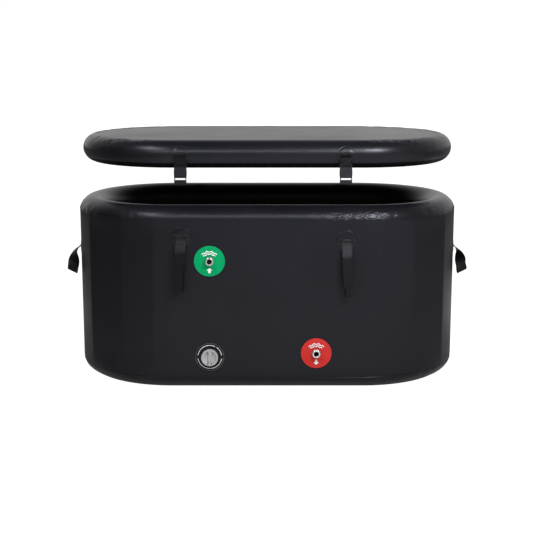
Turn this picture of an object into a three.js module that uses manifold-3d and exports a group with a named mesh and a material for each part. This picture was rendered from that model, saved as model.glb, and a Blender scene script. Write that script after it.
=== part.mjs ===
// Inflatable cold plunge tub with a lift-off inflatable lid, in millimetres, +Z up.
// The origin is the middle of the footprint, on the ground, and the front wall faces -Y.
// The lid is held level above the rim, as it is when it has just been taken off.
import * as THREE from "three";
import { mergeVertices } from "three/addons/utils/BufferGeometryUtils.js";
import Module from "manifold-3d";

const wasm = await Module();
wasm.setup();

// Clearances
const seatGap = 0.3; // between pieces that touch
const turnGap = 0.3; // between a moving piece and what holds it
const past = 1; // that a cutting tool runs beyond what it cuts

// Tub
const tubLength = 1500;
const tubDepth = 800;
const tubHeight = 700;
const tubEndFlat = 32; // straight part of an end wall, between its two corners
const wallThickness = 120; // over the edge bands
const bandThickness = 1.2;
const rimBandAngle = 9.6; // degrees above the middle of the rim's round where its band ends
const baseBandAngle = 14.5; // degrees below the middle of the base's round where its band ends
const floorThickness = 80;
const floorEdgeRound = 12;
const tapeWidth = 25; // each leg of the tape in the corner of wall and floor
const tapeThickness = 1.5;
const sheetThickness = 2;

// Lid
const lidLength = 1460;
const lidDepth = 760;
const lidThickness = 105;
const lidEndFlat = 10;
const lidLift = 138; // from the rim's crest to the underside of the lid
const lidBandAngle = 86; // degrees above and below the edge's middle that its band covers

// Water fittings on the front wall
const inletX = -216;
const inletDrop = 204; // below the rim's crest
const outletX = 186;
const outletZ = 141;
const fittingDiscRadius = 58;
const fittingDiscThickness = 4.5;
const fittingDiscBevel = 1;
const spigotRadius = 16;
const spigotBoreRadius = 9;
const spigotReach = 15.5; // past the face of the disc
const spigotTail = 20; // past the inner face of the wall
const spigotBevel = 1.5;
const spigotFlangeRadius = 30;
const spigotFlangeThickness = 2.5;
const gasketThickness = 3;
const nutAcrossCorners = 56;
const nutThickness = 12;

// Air valves
const valveX = -218;
const valveZ = 126;
const lidValveX = 0;
const valvePatchRadius = 55;
const valvePatchThickness = 1.5;
const valveFlangeRadius = 33;
const valveFlangeThickness = 3;
const valveCollarHeight = 5;
const valveBarrelRadius = 20;
const valveBarrelDepth = 22; // into the chamber
const valveBoreRadius = 15;
const valveWebDepth = 10; // from the wall's face to the web that guides the stem
const valveWebThickness = 3;
const valveAirHoleRadius = 4;
const valveAirHoleCircle = 9.2;
const valveAirHoles = 4;
const valveNutRadius = 29;
const valveNutThickness = 6;
const valveNutRoom = 2; // round the nut, inside the chamber
const valvePocketRoom = 15; // behind the plunger when it is pushed in
const lidValveSeatMargin = 2; // of the seat beyond the flange
const chamberSkin = 2.5; // of the chamber, which the valve's nut grips
const stemRadius = 3;
const stemButtonRadius = 6.5;
const stemButtonThickness = 3;
const stemButtonHeight = 7; // from the wall's face to the top of the button
const plungerRadius = 17.5;
const plungerThickness = 3;
const stemTravel = 6;
const springRadius = 5;
const springWireRadius = 0.7;
const springTurns = 4;
const capRadius = 32;
const capSkirtThickness = 7.7;
const capTopThickness = 6.5;
const capBevel = 1.2;
const capRim = 7; // between the recesses and the outer edge
const capRecessDepth = 4.5;
const capGripWidth = 13; // of the bar between the two half-moon recesses
const capSealThickness = 1.4;

// Webbing and its patches
const webbingWidth = 38;
const webbingThickness = 2;
const loopPitch = 620; // between the two loops of a side
const loopShift = -13; // of the pair along the front wall
const patchRadius = 41;
const patchThickness = 2.2;
const cheekWidth = 5.7; // beside the strap, at each end of its hood
const hoodRise = 12; // above the strap's pivot
const hoodLip = 2.2;
const cheekDrop = 6;
const rollRadius = 3; // of the strap's sewn root
const rollInset = 0.5; // of the root's ends from the edges of the webbing
const loopFoldRadius = 8;
const loopStandOff = 20; // of a loop from its pivot
const loopStandShare = 0.3; // of the fall, by which a loop has its stand-off
const loopTwistShare = 0.62; // of the fall, by which a loop has its twist
const loopGripFrom = 0.74; // of the fall, below which the webbing may be folded in for the hand
const loopGripTo = 0.88;
const leftLoopDrop = 113; // of the strap's pivot below the rim's crest
const leftLoopLength = 212;
const leftLoopTwist = -12; // degrees at the bottom of the loop
const leftLoopDrift = 9; // sideways by the bottom of the loop
const leftLoopSlant = -0.33; // rise of one edge of the fold, for each unit of width
const rightLoopDrop = 128;
const rightLoopLength = 208;
const rightLoopTwist = 8;
const rightLoopDrift = -5;
const rightLoopPinch = 0.5; // of the width, folded in at the grip
const handleDrop = 211;
const handleLength = 110;
const handleFoldRadius = 13;
const handleStandOff = 22;
const handleTwist = 90;
const handleTwistShare = 0.9;
const handleLean = 18; // outward by the bottom of the loop
const handleSlant = 0.5;

// Lid tie-downs
const tieDownPitch = 610; // between the two tie-downs of a side
const tieDownShift = -15; // of the pair along the front edge
const lidPatchRadius = 32;
const tieDownLean = 10; // degrees from plumb
const tieDownOffset = 5; // of the buckle from the strap's pivot
const tieDownDrop = 34; // from the strap's pivot to the top of the buckle
const strapKnee = 12; // from the pivot to where the strap hangs straight
const strapPart = 11; // from the buckle up to where the two layers part
const strapOverlap = 14; // from the buckle up to the cut end of the strap

// Side-release buckle, from its top down
const buckleBar = 5;
const buckleSlot = 3.3;
const buckleShoulder = 10.5; // height of the male half that shows
const maleSide = 3.2; // beside the web slot
const maleThickness = 6;
const plugLength = 5;
const tongueWidth = 9;
const prongThickness = 5;
const prongWidth = 5.6;
const prongInset = 7; // of the pivot from the side of the plug
const prongPivotDrop = 4.5; // below the shoulder
const prongLength = 25; // from the pivot to the tip
const prongShoulder = 6.3; // from the pivot to the top of the release button
const prongShoulderBevel = 1.1;
const prongNose = 3.2; // length of the tapered tip
const prongNoseInset = 2.2;
const femaleOver = 1.3; // of the shell beyond the male half, on each side
const femaleThickness = 13;
const femaleBevel = 1.5;
const femaleSide = 2; // thickness of the bridge beside the mouth
const femaleRoom = 2.1; // from the tips of the prongs to the end of the hollow
const femaleShellEnd = 8.5; // between the hollow and the web slot
const femaleSlot = 6.8;
const femaleBar = 15;
const femaleBarThickness = 8;
const femaleBarStep = 1.2; // above the slot, where the shell steps down to the bar
const femaleCorner = 5;
const femaleBulge = 1.3;
const windowLead = 1.5; // of the side windows above the release buttons

// Fineness
const cornerSteps = 6;
const rimSteps = 6;
const soleSteps = 2;
const lidEdgeSteps = 6;
const turnedSides = 16;
const smallSides = 10;
const rollSides = 12;
const discSides = 24;
const capSides = 20;
const patchSides = 18;
const hexSides = 6;
const plateCurveSteps = 4;
const recessCurveSteps = 5;
const loopSteps = 7;
const loopFoldSteps = 4;
const strapFoldSteps = 2;
const springSides = 5;
const springSteps = 8; // along each turn
const weldDistance = 1e-3;

// Values worked out from the sizes above
const wallHalf = wallThickness / 2;
const panelHalf = wallHalf - bandThickness - seatGap;
const bandInner = wallHalf - bandThickness;
const rimCentre = tubHeight - wallHalf;
const soleLevel = sheetThickness + seatGap;
const panelSole = soleLevel + bandThickness + seatGap;
const panelWidth = 2 * panelHalf;
const lidHalf = lidThickness / 2;
const lidPanelHalf = lidHalf - bandThickness - seatGap;
const lidMiddle = tubHeight + lidLift + lidHalf;
const inletZ = tubHeight - inletDrop;
const leftLoopZ = tubHeight - leftLoopDrop;
const rightLoopZ = tubHeight - rightLoopDrop;
const handleZ = tubHeight - handleDrop;
const discFace = seatGap + fittingDiscThickness;
const valveSeat = 2 * seatGap + valvePatchThickness;
const collarTop = valveSeat + valveFlangeThickness + valveCollarHeight;
const valveCollarRadius = capRadius - capSkirtThickness - turnGap;
const valvePocketRadius = valveNutRadius + valveNutRoom;
const valvePocketDepth = valveBarrelDepth + seatGap + plungerThickness + stemTravel + valvePocketRoom;
const pivotOut = patchThickness + turnGap + rollRadius;
const troughRadius = rollRadius + turnGap;
const rollWidth = webbingWidth - 2 * rollInset;
const webSlotHalf = webbingWidth / 2 + seatGap;
const hoodWidth = webbingWidth + 2 * (turnGap + cheekWidth);
const maleHalf = webSlotHalf + maleSide;
const femaleHalf = maleHalf + femaleOver;
const plugHalf = femaleHalf - femaleSide - turnGap;
const prongPivotX = plugHalf - prongInset;
const pivotDrop = buckleShoulder + prongPivotDrop;
const mouthDrop = buckleShoulder + 2 * seatGap;
const hollowDrop = pivotDrop + prongLength + femaleRoom;
const loopLeft = loopShift - loopPitch / 2;
const loopRight = loopShift + loopPitch / 2;
const tieDownLeft = tieDownShift - tieDownPitch / 2;
const tieDownRight = tieDownShift + tieDownPitch / 2;

const tubOutline = outline(tubLength, tubDepth, tubEndFlat, wallHalf);
const lidOutline = outline(lidLength, lidDepth, lidEndFlat, lidHalf);

const finishes = {
  chamber: { color: 0x262728, roughness: 0.55, metalness: 0 },
  band: { color: 0x2b2c2d, roughness: 0.5, metalness: 0 },
  webbing: { color: 0x18181a, roughness: 0.8, metalness: 0 },
  moulding: { color: 0x202122, roughness: 0.45, metalness: 0 },
  inlet: { color: 0x00a86b, roughness: 0.5, metalness: 0 },
  outlet: { color: 0xe13232, roughness: 0.5, metalness: 0 },
  steel: { color: 0xbeb9af, roughness: 0.25, metalness: 1 },
  cap: { color: 0xa6a6a8, roughness: 0.45, metalness: 0 },
  rubber: { color: 0x1c1c1c, roughness: 0.7, metalness: 0 },
};

// A rounded rectangle in plan: its corner centres, and the radius of a line inset from its outer edge.
function outline(length, depth, endFlat, inset) {
  const corner = (depth - endFlat) / 2;
  return { x: length / 2 - corner, y: endFlat / 2, radius: corner - inset };
}

function radians(degrees) {
  return (degrees * Math.PI) / 180;
}

function smooth(share) {
  const t = Math.min(1, Math.max(0, share));
  return t * t * (3 - 2 * t);
}

function named(name, geometry, finish) {
  const mesh = new THREE.Mesh(geometry, new THREE.MeshStandardMaterial(finishes[finish]));
  mesh.name = name;
  return mesh;
}

function signedVolume(positions, index) {
  const a = new THREE.Vector3();
  const b = new THREE.Vector3();
  const c = new THREE.Vector3();
  let sum = 0;
  for (let i = 0; i < index.length; i += 3) {
    a.fromBufferAttribute(positions, index[i]);
    b.fromBufferAttribute(positions, index[i + 1]);
    c.fromBufferAttribute(positions, index[i + 2]);
    sum += a.dot(b.cross(c)) / 6;
  }
  return sum;
}

// The same surface with its corners shared, no empty triangles and its faces pointing out.
function closed(geometry) {
  const bare = new THREE.BufferGeometry();
  bare.setAttribute("position", geometry.getAttribute("position"));
  if (geometry.index) {
    bare.setIndex(geometry.index);
  }
  const merged = mergeVertices(bare, weldDistance);
  const all = merged.index.array;
  const kept = [];
  for (let i = 0; i < all.length; i += 3) {
    const [a, b, c] = [all[i], all[i + 1], all[i + 2]];
    if (a !== b && b !== c && c !== a) {
      kept.push(a, b, c);
    }
  }
  if (signedVolume(merged.getAttribute("position"), kept) < 0) {
    kept.reverse();
  }
  merged.setIndex(kept);
  return merged;
}

function toSolid(geometry) {
  const clean = closed(geometry);
  const vertProperties = new Float32Array(clean.getAttribute("position").array);
  const triVerts = new Uint32Array(clean.index.array);
  return new wasm.Manifold(new wasm.Mesh({ numProp: 3, vertProperties, triVerts }));
}

function toGeometry(solid) {
  const made = solid.getMesh();
  const geometry = new THREE.BufferGeometry();
  geometry.setAttribute("position", new THREE.BufferAttribute(new Float32Array(made.vertProperties), 3));
  geometry.setIndex(new THREE.BufferAttribute(new Uint32Array(made.triVerts), 1));
  return closed(geometry);
}

function cut(geometry, tools) {
  return toGeometry(tools.reduce((solid, tool) => solid.subtract(toSolid(tool)), toSolid(geometry)));
}

function join(geometries) {
  const [first, ...rest] = geometries.map(toSolid);
  return toGeometry(rest.reduce((solid, piece) => solid.add(piece), first));
}

function overlapOf(a, b) {
  return toGeometry(toSolid(a).intersect(toSolid(b)));
}

function meshOf(points, triangles) {
  const geometry = new THREE.BufferGeometry();
  geometry.setAttribute("position", new THREE.Float32BufferAttribute(points.flat(), 3));
  geometry.setIndex(triangles);
  return closed(geometry);
}

// Points on an arc, as [offset, height], with both ends.
function arc(offset, height, radius, from, to, steps) {
  return Array.from({ length: steps + 1 }, (_, i) => {
    const angle = from + ((to - from) * i) / steps;
    return [offset + radius * Math.cos(angle), height + radius * Math.sin(angle)];
  });
}

// Places round a plan outline, each with the centre of its corner and the way out.
function stations() {
  const places = [];
  for (let corner = 0; corner < 4; corner += 1) {
    const sideX = corner === 0 || corner === 3 ? 1 : -1;
    const sideY = corner < 2 ? 1 : -1;
    for (let step = 0; step <= cornerSteps; step += 1) {
      const angle = ((corner + step / cornerSteps) * Math.PI) / 2;
      places.push({ sideX, sideY, outX: Math.cos(angle), outY: Math.sin(angle) });
    }
  }
  return places;
}

function planPoint(plan, place, offset, height) {
  const reach = plan.radius + offset;
  return [place.sideX * plan.x + place.outX * reach, place.sideY * plan.y + place.outY * reach, height];
}

// A closed section, as [offset, height], carried right round a plan outline.
function ring(plan, section) {
  const places = stations();
  const points = places.flatMap((place) => section.map(([n, z]) => planPoint(plan, place, n, z)));
  const count = section.length;
  const triangles = [];
  places.forEach((_, k) => {
    const here = k * count;
    const next = ((k + 1) % places.length) * count;
    section.forEach((_, i) => {
      const j = (i + 1) % count;
      triangles.push(here + i, next + i, next + j, here + i, next + j, here + j);
    });
  });
  return meshOf(points, triangles);
}

// A slab with a plan outline whose edge follows a profile from its underside to its top.
function slab(plan, profile) {
  const places = stations();
  const points = profile.flatMap(([n, z]) => places.map((place) => planPoint(plan, place, n, z)));
  const count = places.length;
  const top = (profile.length - 1) * count;
  const triangles = [];
  for (let level = 0; level + 1 < profile.length; level += 1) {
    for (let k = 0; k < count; k += 1) {
      const a = level * count + k;
      const b = level * count + ((k + 1) % count);
      triangles.push(a, b, b + count, a, b + count, a + count);
    }
  }
  for (let k = 1; k + 1 < count; k += 1) {
    triangles.push(0, k + 1, k, top, top + k, top + k + 1);
  }
  return meshOf(points, triangles);
}

// A closed profile, as [radius, height], turned about the Y axis.
function turned(profile, sides) {
  const points = [...profile, profile[0]].map(([r, y]) => new THREE.Vector2(r, y));
  return closed(new THREE.LatheGeometry(points, sides));
}

function tube(inner, outer, low, high, sides) {
  return turned([[inner, low], [outer, low], [outer, high], [inner, high]], sides);
}

// A round bar along Y from one height to another.
function plug(radius, low, high, sides) {
  const geometry = new THREE.CylinderGeometry(radius, radius, high - low, sides);
  return closed(geometry.translate(0, (low + high) / 2, 0));
}

// A round bar along X, centred.
function axle(radius, length, sides) {
  const geometry = new THREE.CylinderGeometry(radius, radius, length, sides);
  return closed(geometry.rotateZ(Math.PI / 2));
}

// A box between two corners.
function block(low, high) {
  const size = high.map((value, i) => value - low[i]);
  const middle = high.map((value, i) => (value + low[i]) / 2);
  return closed(new THREE.BoxGeometry(...size).translate(...middle));
}

// An outline in X and Z, as a Shape, given a thickness along Y about the XZ plane.
function plate(shape, thickness, bevel = 0) {
  const geometry = new THREE.ExtrudeGeometry(shape, {
    depth: thickness - 2 * bevel,
    bevelEnabled: bevel > 0,
    bevelThickness: bevel,
    bevelSize: bevel,
    bevelOffset: -bevel,
    bevelSegments: 1,
    curveSegments: plateCurveSteps,
  });
  return closed(geometry.translate(0, 0, bevel - thickness / 2).rotateX(Math.PI / 2));
}

// A flat strip of webbing along a path of [outward, height] points, its width along X.
// bend moves each corner of the finished strip. Every face is split along the same diagonal,
// falling or rising, so that no two faces of a twisted strip can cross.
function ribbon(path, bend = (point) => point) {
  const points = [];
  path.forEach(([y, z], i) => {
    const [y0, z0] = path[Math.max(0, i - 1)];
    const [y1, z1] = path[Math.min(path.length - 1, i + 1)];
    const along = Math.hypot(y1 - y0, z1 - z0);
    const ny = (-(z1 - z0) / along) * (webbingThickness / 2);
    const nz = ((y1 - y0) / along) * (webbingThickness / 2);
    for (const [side, face] of [[-1, -1], [1, -1], [1, 1], [-1, 1]]) {
      points.push(bend([(side * webbingWidth) / 2, y + face * ny, z + face * nz]));
    }
  });
  const triangles = [0, 1, 2, 0, 2, 3];
  for (let i = 0; i + 1 < path.length; i += 1) {
    const falls = path[i + 1][1] <= path[i][1];
    for (let k = 0; k < 4; k += 1) {
      const a = 4 * i + k;
      const b = 4 * i + ((k + 1) % 4);
      if (k < 2 === falls) {
        triangles.push(a, b + 4, b, a, a + 4, b + 4);
      } else {
        triangles.push(a, a + 4, b, b, a + 4, b + 4);
      }
    }
  }
  const end = 4 * (path.length - 1);
  triangles.push(end, end + 2, end + 1, end, end + 3, end + 2);
  return meshOf(points, triangles);
}

// A frame on an outer wall: its +Y points out of the wall and its +Z up.
const wallTurns = { front: Math.PI, back: 0, left: Math.PI / 2, right: -Math.PI / 2 };

function wallFrame(side, along, height, halfLength, halfDepth) {
  const frame = new THREE.Group();
  const across = side === "left" || side === "right";
  const out = across ? halfLength : halfDepth;
  const sign = side === "back" || side === "right" ? 1 : -1;
  frame.position.set(across ? sign * out : along, across ? along : sign * out, height);
  frame.rotation.z = wallTurns[side];
  return frame;
}

function tubFrame(side, along, height) {
  const inset = wallHalf - panelHalf;
  return wallFrame(side, along, height, tubLength / 2 - inset, tubDepth / 2 - inset);
}

function lidFrame(side, along) {
  return wallFrame(side, along, lidMiddle, lidLength / 2, lidDepth / 2);
}

// A tool shaped in a wall frame, carried into the frame of the whole tub.
function placed(geometry, frame) {
  frame.updateMatrix();
  return geometry.clone().applyMatrix4(frame.matrix);
}

// Tub chamber

// The wall's chamber follows the same facets as the bands round its rim and its base.
function wallPanel() {
  const rimEdge = radians(rimBandAngle);
  const baseEdge = radians(baseBandAngle);
  const sole = Math.asin((wallHalf - panelSole) / panelHalf);
  const section = [
    ...arc(0, wallHalf, panelHalf, -sole, -baseEdge, soleSteps),
    [panelHalf, wallHalf],
    [panelHalf, rimCentre],
    ...arc(0, rimCentre, panelHalf, rimEdge, Math.PI - rimEdge, rimSteps),
    [-panelHalf, rimCentre],
    [-panelHalf, wallHalf],
    ...arc(0, wallHalf, panelHalf, Math.PI + baseEdge, Math.PI + sole, soleSteps),
  ];
  const through = plug(spigotRadius + seatGap, -panelWidth - past, past, turnedSides);
  const tools = [
    placed(through, tubFrame("front", inletX, inletZ)),
    placed(through, tubFrame("front", outletX, outletZ)),
    placed(valvePocket(), tubFrame("front", valveX, valveZ)),
  ];
  return cut(ring(tubOutline, section), tools);
}

function rimBand() {
  const from = radians(rimBandAngle);
  return ring(tubOutline, [
    ...arc(0, rimCentre, wallHalf, from, Math.PI - from, rimSteps),
    ...arc(0, rimCentre, bandInner, Math.PI - from, from, rimSteps),
  ]);
}

// The base band is flattened where it bears on the base sheet.
function baseBand() {
  const edge = radians(baseBandAngle);
  const side = (radius, level, sign) => {
    const flat = Math.asin((wallHalf - level) / radius);
    const ends = sign < 0 ? [Math.PI + edge, Math.PI + flat] : [-flat, -edge];
    return arc(0, wallHalf, radius, ends[0], ends[1], soleSteps);
  };
  const outer = [...side(wallHalf, soleLevel, -1), ...side(wallHalf, soleLevel, 1)];
  const innerLevel = soleLevel + bandThickness;
  const inner = [...side(bandInner, innerLevel, -1), ...side(bandInner, innerLevel, 1)];
  return ring(tubOutline, [...outer, ...inner.reverse()]);
}

function floorPanel() {
  const edge = -panelHalf - seatGap;
  const top = soleLevel + floorThickness;
  return slab(tubOutline, [
    [edge - floorEdgeRound, soleLevel],
    [edge, soleLevel + floorEdgeRound],
    [edge, top - floorEdgeRound],
    [edge - floorEdgeRound, top],
  ]);
}

function floorSeamTape() {
  const wall = -panelHalf - seatGap;
  const level = soleLevel + floorThickness + seatGap;
  return ring(tubOutline, [
    [wall, level],
    [wall, level + tapeWidth],
    [wall - tapeThickness, level + tapeWidth],
    [wall - tapeThickness, level + tapeThickness],
    [wall - tapeWidth, level + tapeThickness],
    [wall - tapeWidth, level],
  ]);
}

function baseSheet() {
  const reach = Math.sqrt(wallHalf ** 2 - (wallHalf - soleLevel) ** 2);
  return slab(tubOutline, [[reach, 0], [reach, sheetThickness]]);
}

// Water fittings, in a wall frame

function fittingDisc() {
  const step = spigotFlangeThickness + 2 * seatGap;
  const hole = spigotRadius + seatGap;
  return turned(
    [
      [hole, step],
      [spigotFlangeRadius + seatGap, step],
      [spigotFlangeRadius + seatGap, seatGap],
      [fittingDiscRadius, seatGap],
      [fittingDiscRadius, discFace - fittingDiscBevel],
      [fittingDiscRadius - fittingDiscBevel, discFace],
      [hole, discFace],
    ],
    discSides,
  );
}

function spigot() {
  const outerEnd = discFace + spigotReach;
  const innerEnd = -panelWidth - spigotTail;
  return turned(
    [
      [spigotBoreRadius, innerEnd],
      [spigotRadius - spigotBevel, innerEnd],
      [spigotRadius, innerEnd + spigotBevel],
      [spigotRadius, seatGap],
      [spigotFlangeRadius, seatGap],
      [spigotFlangeRadius, seatGap + spigotFlangeThickness],
      [spigotRadius, seatGap + spigotFlangeThickness],
      [spigotRadius, outerEnd - spigotBevel],
      [spigotRadius - spigotBevel, outerEnd],
      [spigotBoreRadius, outerEnd],
    ],
    turnedSides,
  );
}

function spigotGasket() {
  const face = -panelWidth - seatGap;
  return tube(spigotRadius + seatGap, spigotFlangeRadius, face - gasketThickness, face, turnedSides);
}

function spigotNut() {
  const face = -panelWidth - 2 * seatGap - gasketThickness;
  const hexagon = plug(nutAcrossCorners / 2, face - nutThickness, face, hexSides);
  const hole = plug(spigotRadius + seatGap, face - nutThickness - past, face + past, turnedSides);
  return cut(hexagon, [hole]);
}

function waterFitting(name, along, height) {
  const frame = tubFrame("front", along, height);
  frame.add(
    named(`${name}_disc`, fittingDisc(), name),
    named(`${name}_spigot`, spigot(), "steel"),
    named(`${name}_gasket`, spigotGasket(), "rubber"),
    named(`${name}_lock_nut`, spigotNut(), "steel"),
  );
  return frame;
}

// Air valves, in a wall frame: a sprung stem in a flanged body, under a quarter-turn cap

function valvePocket() {
  const neck = plug(valveBarrelRadius + seatGap, -chamberSkin - past, past, turnedSides);
  const room = plug(valvePocketRadius, -valvePocketDepth, -chamberSkin, turnedSides);
  return join([neck, room]);
}

function valveBody() {
  const flangeTop = valveSeat + valveFlangeThickness;
  const webTop = -valveWebDepth;
  const webBottom = -valveWebDepth - valveWebThickness;
  const guide = stemRadius + turnGap;
  const body = turned(
    [
      [guide, webBottom],
      [valveBoreRadius, webBottom],
      [valveBoreRadius, -valveBarrelDepth],
      [valveBarrelRadius, -valveBarrelDepth],
      [valveBarrelRadius, valveSeat],
      [valveFlangeRadius, valveSeat],
      [valveFlangeRadius, flangeTop],
      [valveCollarRadius, flangeTop],
      [valveCollarRadius, collarTop],
      [valveBoreRadius, collarTop],
      [valveBoreRadius, webTop],
      [guide, webTop],
    ],
    turnedSides,
  );
  const airHoles = Array.from({ length: valveAirHoles }, (_, i) => {
    const hole = plug(valveAirHoleRadius, webBottom - past, webTop + past, hexSides);
    return hole.translate(valveAirHoleCircle, 0, 0).rotateY((i * 2 * Math.PI) / valveAirHoles);
  });
  return cut(body, airHoles);
}

function valveStem() {
  const plungerTop = -valveBarrelDepth - seatGap;
  const buttonUnder = stemButtonHeight - stemButtonThickness;
  return turned(
    [
      [0, plungerTop - plungerThickness],
      [plungerRadius, plungerTop - plungerThickness],
      [plungerRadius, plungerTop],
      [stemRadius, plungerTop],
      [stemRadius, buttonUnder],
      [stemButtonRadius, buttonUnder],
      [stemButtonRadius, stemButtonHeight],
      [0, stemButtonHeight],
    ],
    smallSides,
  );
}

class Helix extends THREE.Curve {
  constructor(radius, low, high, turns) {
    super();
    Object.assign(this, { radius, low, high, turns });
  }
  getPoint(share, target = new THREE.Vector3()) {
    const angle = 2 * Math.PI * this.turns * share;
    const height = this.low + (this.high - this.low) * share;
    return target.set(this.radius * Math.cos(angle), height, this.radius * Math.sin(angle));
  }
}

function valveSpring() {
  const low = -valveWebDepth + seatGap + springWireRadius;
  const high = stemButtonHeight - stemButtonThickness - seatGap - springWireRadius;
  const wire = arc(0, 0, springWireRadius, 0, 2 * Math.PI, springSides).slice(1);
  const section = new THREE.Shape(wire.map(([x, y]) => new THREE.Vector2(x, y)));
  const geometry = new THREE.ExtrudeGeometry(section, {
    steps: springSteps * springTurns,
    bevelEnabled: false,
    extrudePath: new Helix(springRadius, low, high, springTurns),
  });
  return closed(geometry);
}

// The two half-moon recesses leave a bar across the cap to turn it by.
function valveCap() {
  const under = valveSeat + valveFlangeThickness + seatGap;
  const ceiling = collarTop + capSealThickness + 2 * seatGap;
  const top = ceiling + capTopThickness;
  const cap = turned(
    [
      [0, ceiling],
      [capRadius - capSkirtThickness, ceiling],
      [capRadius - capSkirtThickness, under],
      [capRadius, under],
      [capRadius, top - capBevel],
      [capRadius - capBevel, top],
      [0, top],
    ],
    capSides,
  );
  const recessRadius = capRadius - capRim;
  const half = Math.acos(capGripWidth / 2 / recessRadius);
  const recesses = [0, Math.PI].map((turn) => {
    const moon = new THREE.Shape();
    moon.absarc(0, 0, recessRadius, turn - half, turn + half);
    const geometry = new THREE.ExtrudeGeometry(moon, {
      depth: capRecessDepth + past,
      bevelEnabled: false,
      curveSegments: recessCurveSteps,
    });
    return geometry.rotateX(-Math.PI / 2).translate(0, top - capRecessDepth, 0);
  });
  return cut(cap, recesses);
}

function valveCapSeal() {
  const level = collarTop + seatGap;
  return tube(valveBoreRadius, valveCollarRadius - seatGap, level, level + capSealThickness, turnedSides);
}

function valvePieces(name) {
  return [
    named(`${name}_body`, valveBody(), "moulding"),
    named(`${name}_stem`, valveStem(), "cap"),
    named(`${name}_spring`, valveSpring(), "steel"),
    named(`${name}_cap_seal`, valveCapSeal(), "rubber"),
    named(`${name}_cap`, valveCap(), "cap"),
  ];
}

function tubValve() {
  const frame = tubFrame("front", valveX, valveZ);
  const patch = tube(
    valveBarrelRadius + seatGap,
    valvePatchRadius,
    seatGap,
    seatGap + valvePatchThickness,
    discSides,
  );
  const face = -chamberSkin - seatGap;
  const nut = tube(valveBarrelRadius + seatGap, valveNutRadius, face - valveNutThickness, face, turnedSides);
  frame.add(named("valve_patch", patch, "rubber"), named("valve_nut", nut, "moulding"));
  frame.add(...valvePieces("valve"));
  return frame;
}

// Webbing patches and loops, in a wall frame whose height is the strap's pivot

// The hood over the sewn root of a strap, with a cheek at each end of it.
function hood(back) {
  const profile = new THREE.Shape();
  profile.moveTo(back, -cheekDrop);
  profile.lineTo(pivotOut, -cheekDrop + hoodLip);
  profile.lineTo(pivotOut, troughRadius + hoodLip);
  profile.lineTo(back, hoodRise);
  const geometry = new THREE.ExtrudeGeometry(profile, { depth: hoodWidth, bevelEnabled: false });
  const across = new THREE.Matrix4().makeBasis(
    new THREE.Vector3(0, 1, 0),
    new THREE.Vector3(0, 0, 1),
    new THREE.Vector3(1, 0, 0),
  );
  return closed(geometry.translate(0, 0, -hoodWidth / 2).applyMatrix4(across));
}

// Room for the root of a strap under its hood, open to the front and downward.
function strapMouth() {
  const half = webbingWidth / 2 + turnGap;
  const trough = axle(troughRadius, 2 * half, smallSides).translate(0, pivotOut, 0);
  const low = -patchRadius;
  const mouth = block([-half, patchThickness, low], [half, 2 * pivotOut, 0]);
  return join([trough, mouth]);
}

function strapPatch() {
  const disc = plug(patchRadius, seatGap, patchThickness, patchSides);
  return cut(join([disc, hood(seatGap)]), [strapMouth()]);
}

// A loop of webbing from its sewn root: two layers that part to a rounded fold, turned on the way down.
function webbingLoop({ length, fold, stand, twist, twistShare, drift = 0, lean = 0, slant = 0, pinch = 0 }) {
  const rootHalf = webbingThickness / 2 + seatGap;
  const fall = length - fold - webbingThickness / 2;
  const layer = (share, side) => [side * (rootHalf + (fold - rootHalf) * smooth(share)), -fall * share];
  const shares = Array.from({ length: loopSteps + 1 }, (_, i) => i / loopSteps);
  const front = shares.map((share) => layer(share, 1));
  const back = shares.map((share) => layer(share, -1)).reverse();
  const round = arc(0, -fall, fold, 0, -Math.PI, loopFoldSteps).slice(1, -1);
  const bend = ([x, y, z]) => {
    const share = -z / length;
    const hang = Math.max(0, share);
    const angle = radians(twist) * smooth(share / twistShare);
    const gripped = smooth((share - loopGripFrom) / (loopGripTo - loopGripFrom));
    const wide = x * (1 - pinch * gripped);
    const across = wide * Math.cos(angle) - y * Math.sin(angle);
    const out = wide * Math.sin(angle) + y * Math.cos(angle);
    const away = stand * Math.sin((Math.PI / 2) * Math.min(1, hang / loopStandShare));
    const rise = slant * wide * smooth(share);
    return [across + drift * smooth(share), out + pivotOut + away + lean * hang, z + rise];
  };
  const root = axle(rollRadius, rollWidth, rollSides).translate(0, pivotOut, 0);
  return join([ribbon([...front, ...round, ...back], bend), root]);
}

function loopOnWall(side, along, height, tag, loop) {
  const frame = tubFrame(side, along, height);
  frame.add(
    named(`${tag}_patch`, strapPatch(), "band"),
    named(tag, webbingLoop(loop), "webbing"),
  );
  return frame;
}

const wallLoop = { fold: loopFoldRadius, stand: loopStandOff, twistShare: loopTwistShare };
const leftLoop = {
  ...wallLoop,
  length: leftLoopLength,
  twist: leftLoopTwist,
  drift: leftLoopDrift,
  slant: leftLoopSlant,
};
const rightLoop = {
  ...wallLoop,
  length: rightLoopLength,
  twist: rightLoopTwist,
  drift: rightLoopDrift,
  pinch: rightLoopPinch,
};
const endHandle = {
  length: handleLength,
  fold: handleFoldRadius,
  stand: handleStandOff,
  twist: handleTwist,
  twistShare: handleTwistShare,
  lean: handleLean,
  slant: handleSlant,
};

// The back of the tub is the front turned half round.
function tubWebbing() {
  return [
    loopOnWall("front", loopLeft, leftLoopZ, "loop_front_left", leftLoop),
    loopOnWall("front", loopRight, rightLoopZ, "loop_front_right", rightLoop),
    loopOnWall("back", -loopLeft, leftLoopZ, "loop_back_right", leftLoop),
    loopOnWall("back", -loopRight, rightLoopZ, "loop_back_left", rightLoop),
    loopOnWall("left", 0, handleZ, "handle_left", endHandle),
    loopOnWall("right", 0, handleZ, "handle_right", endHandle),
  ];
}

// Lid

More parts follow.
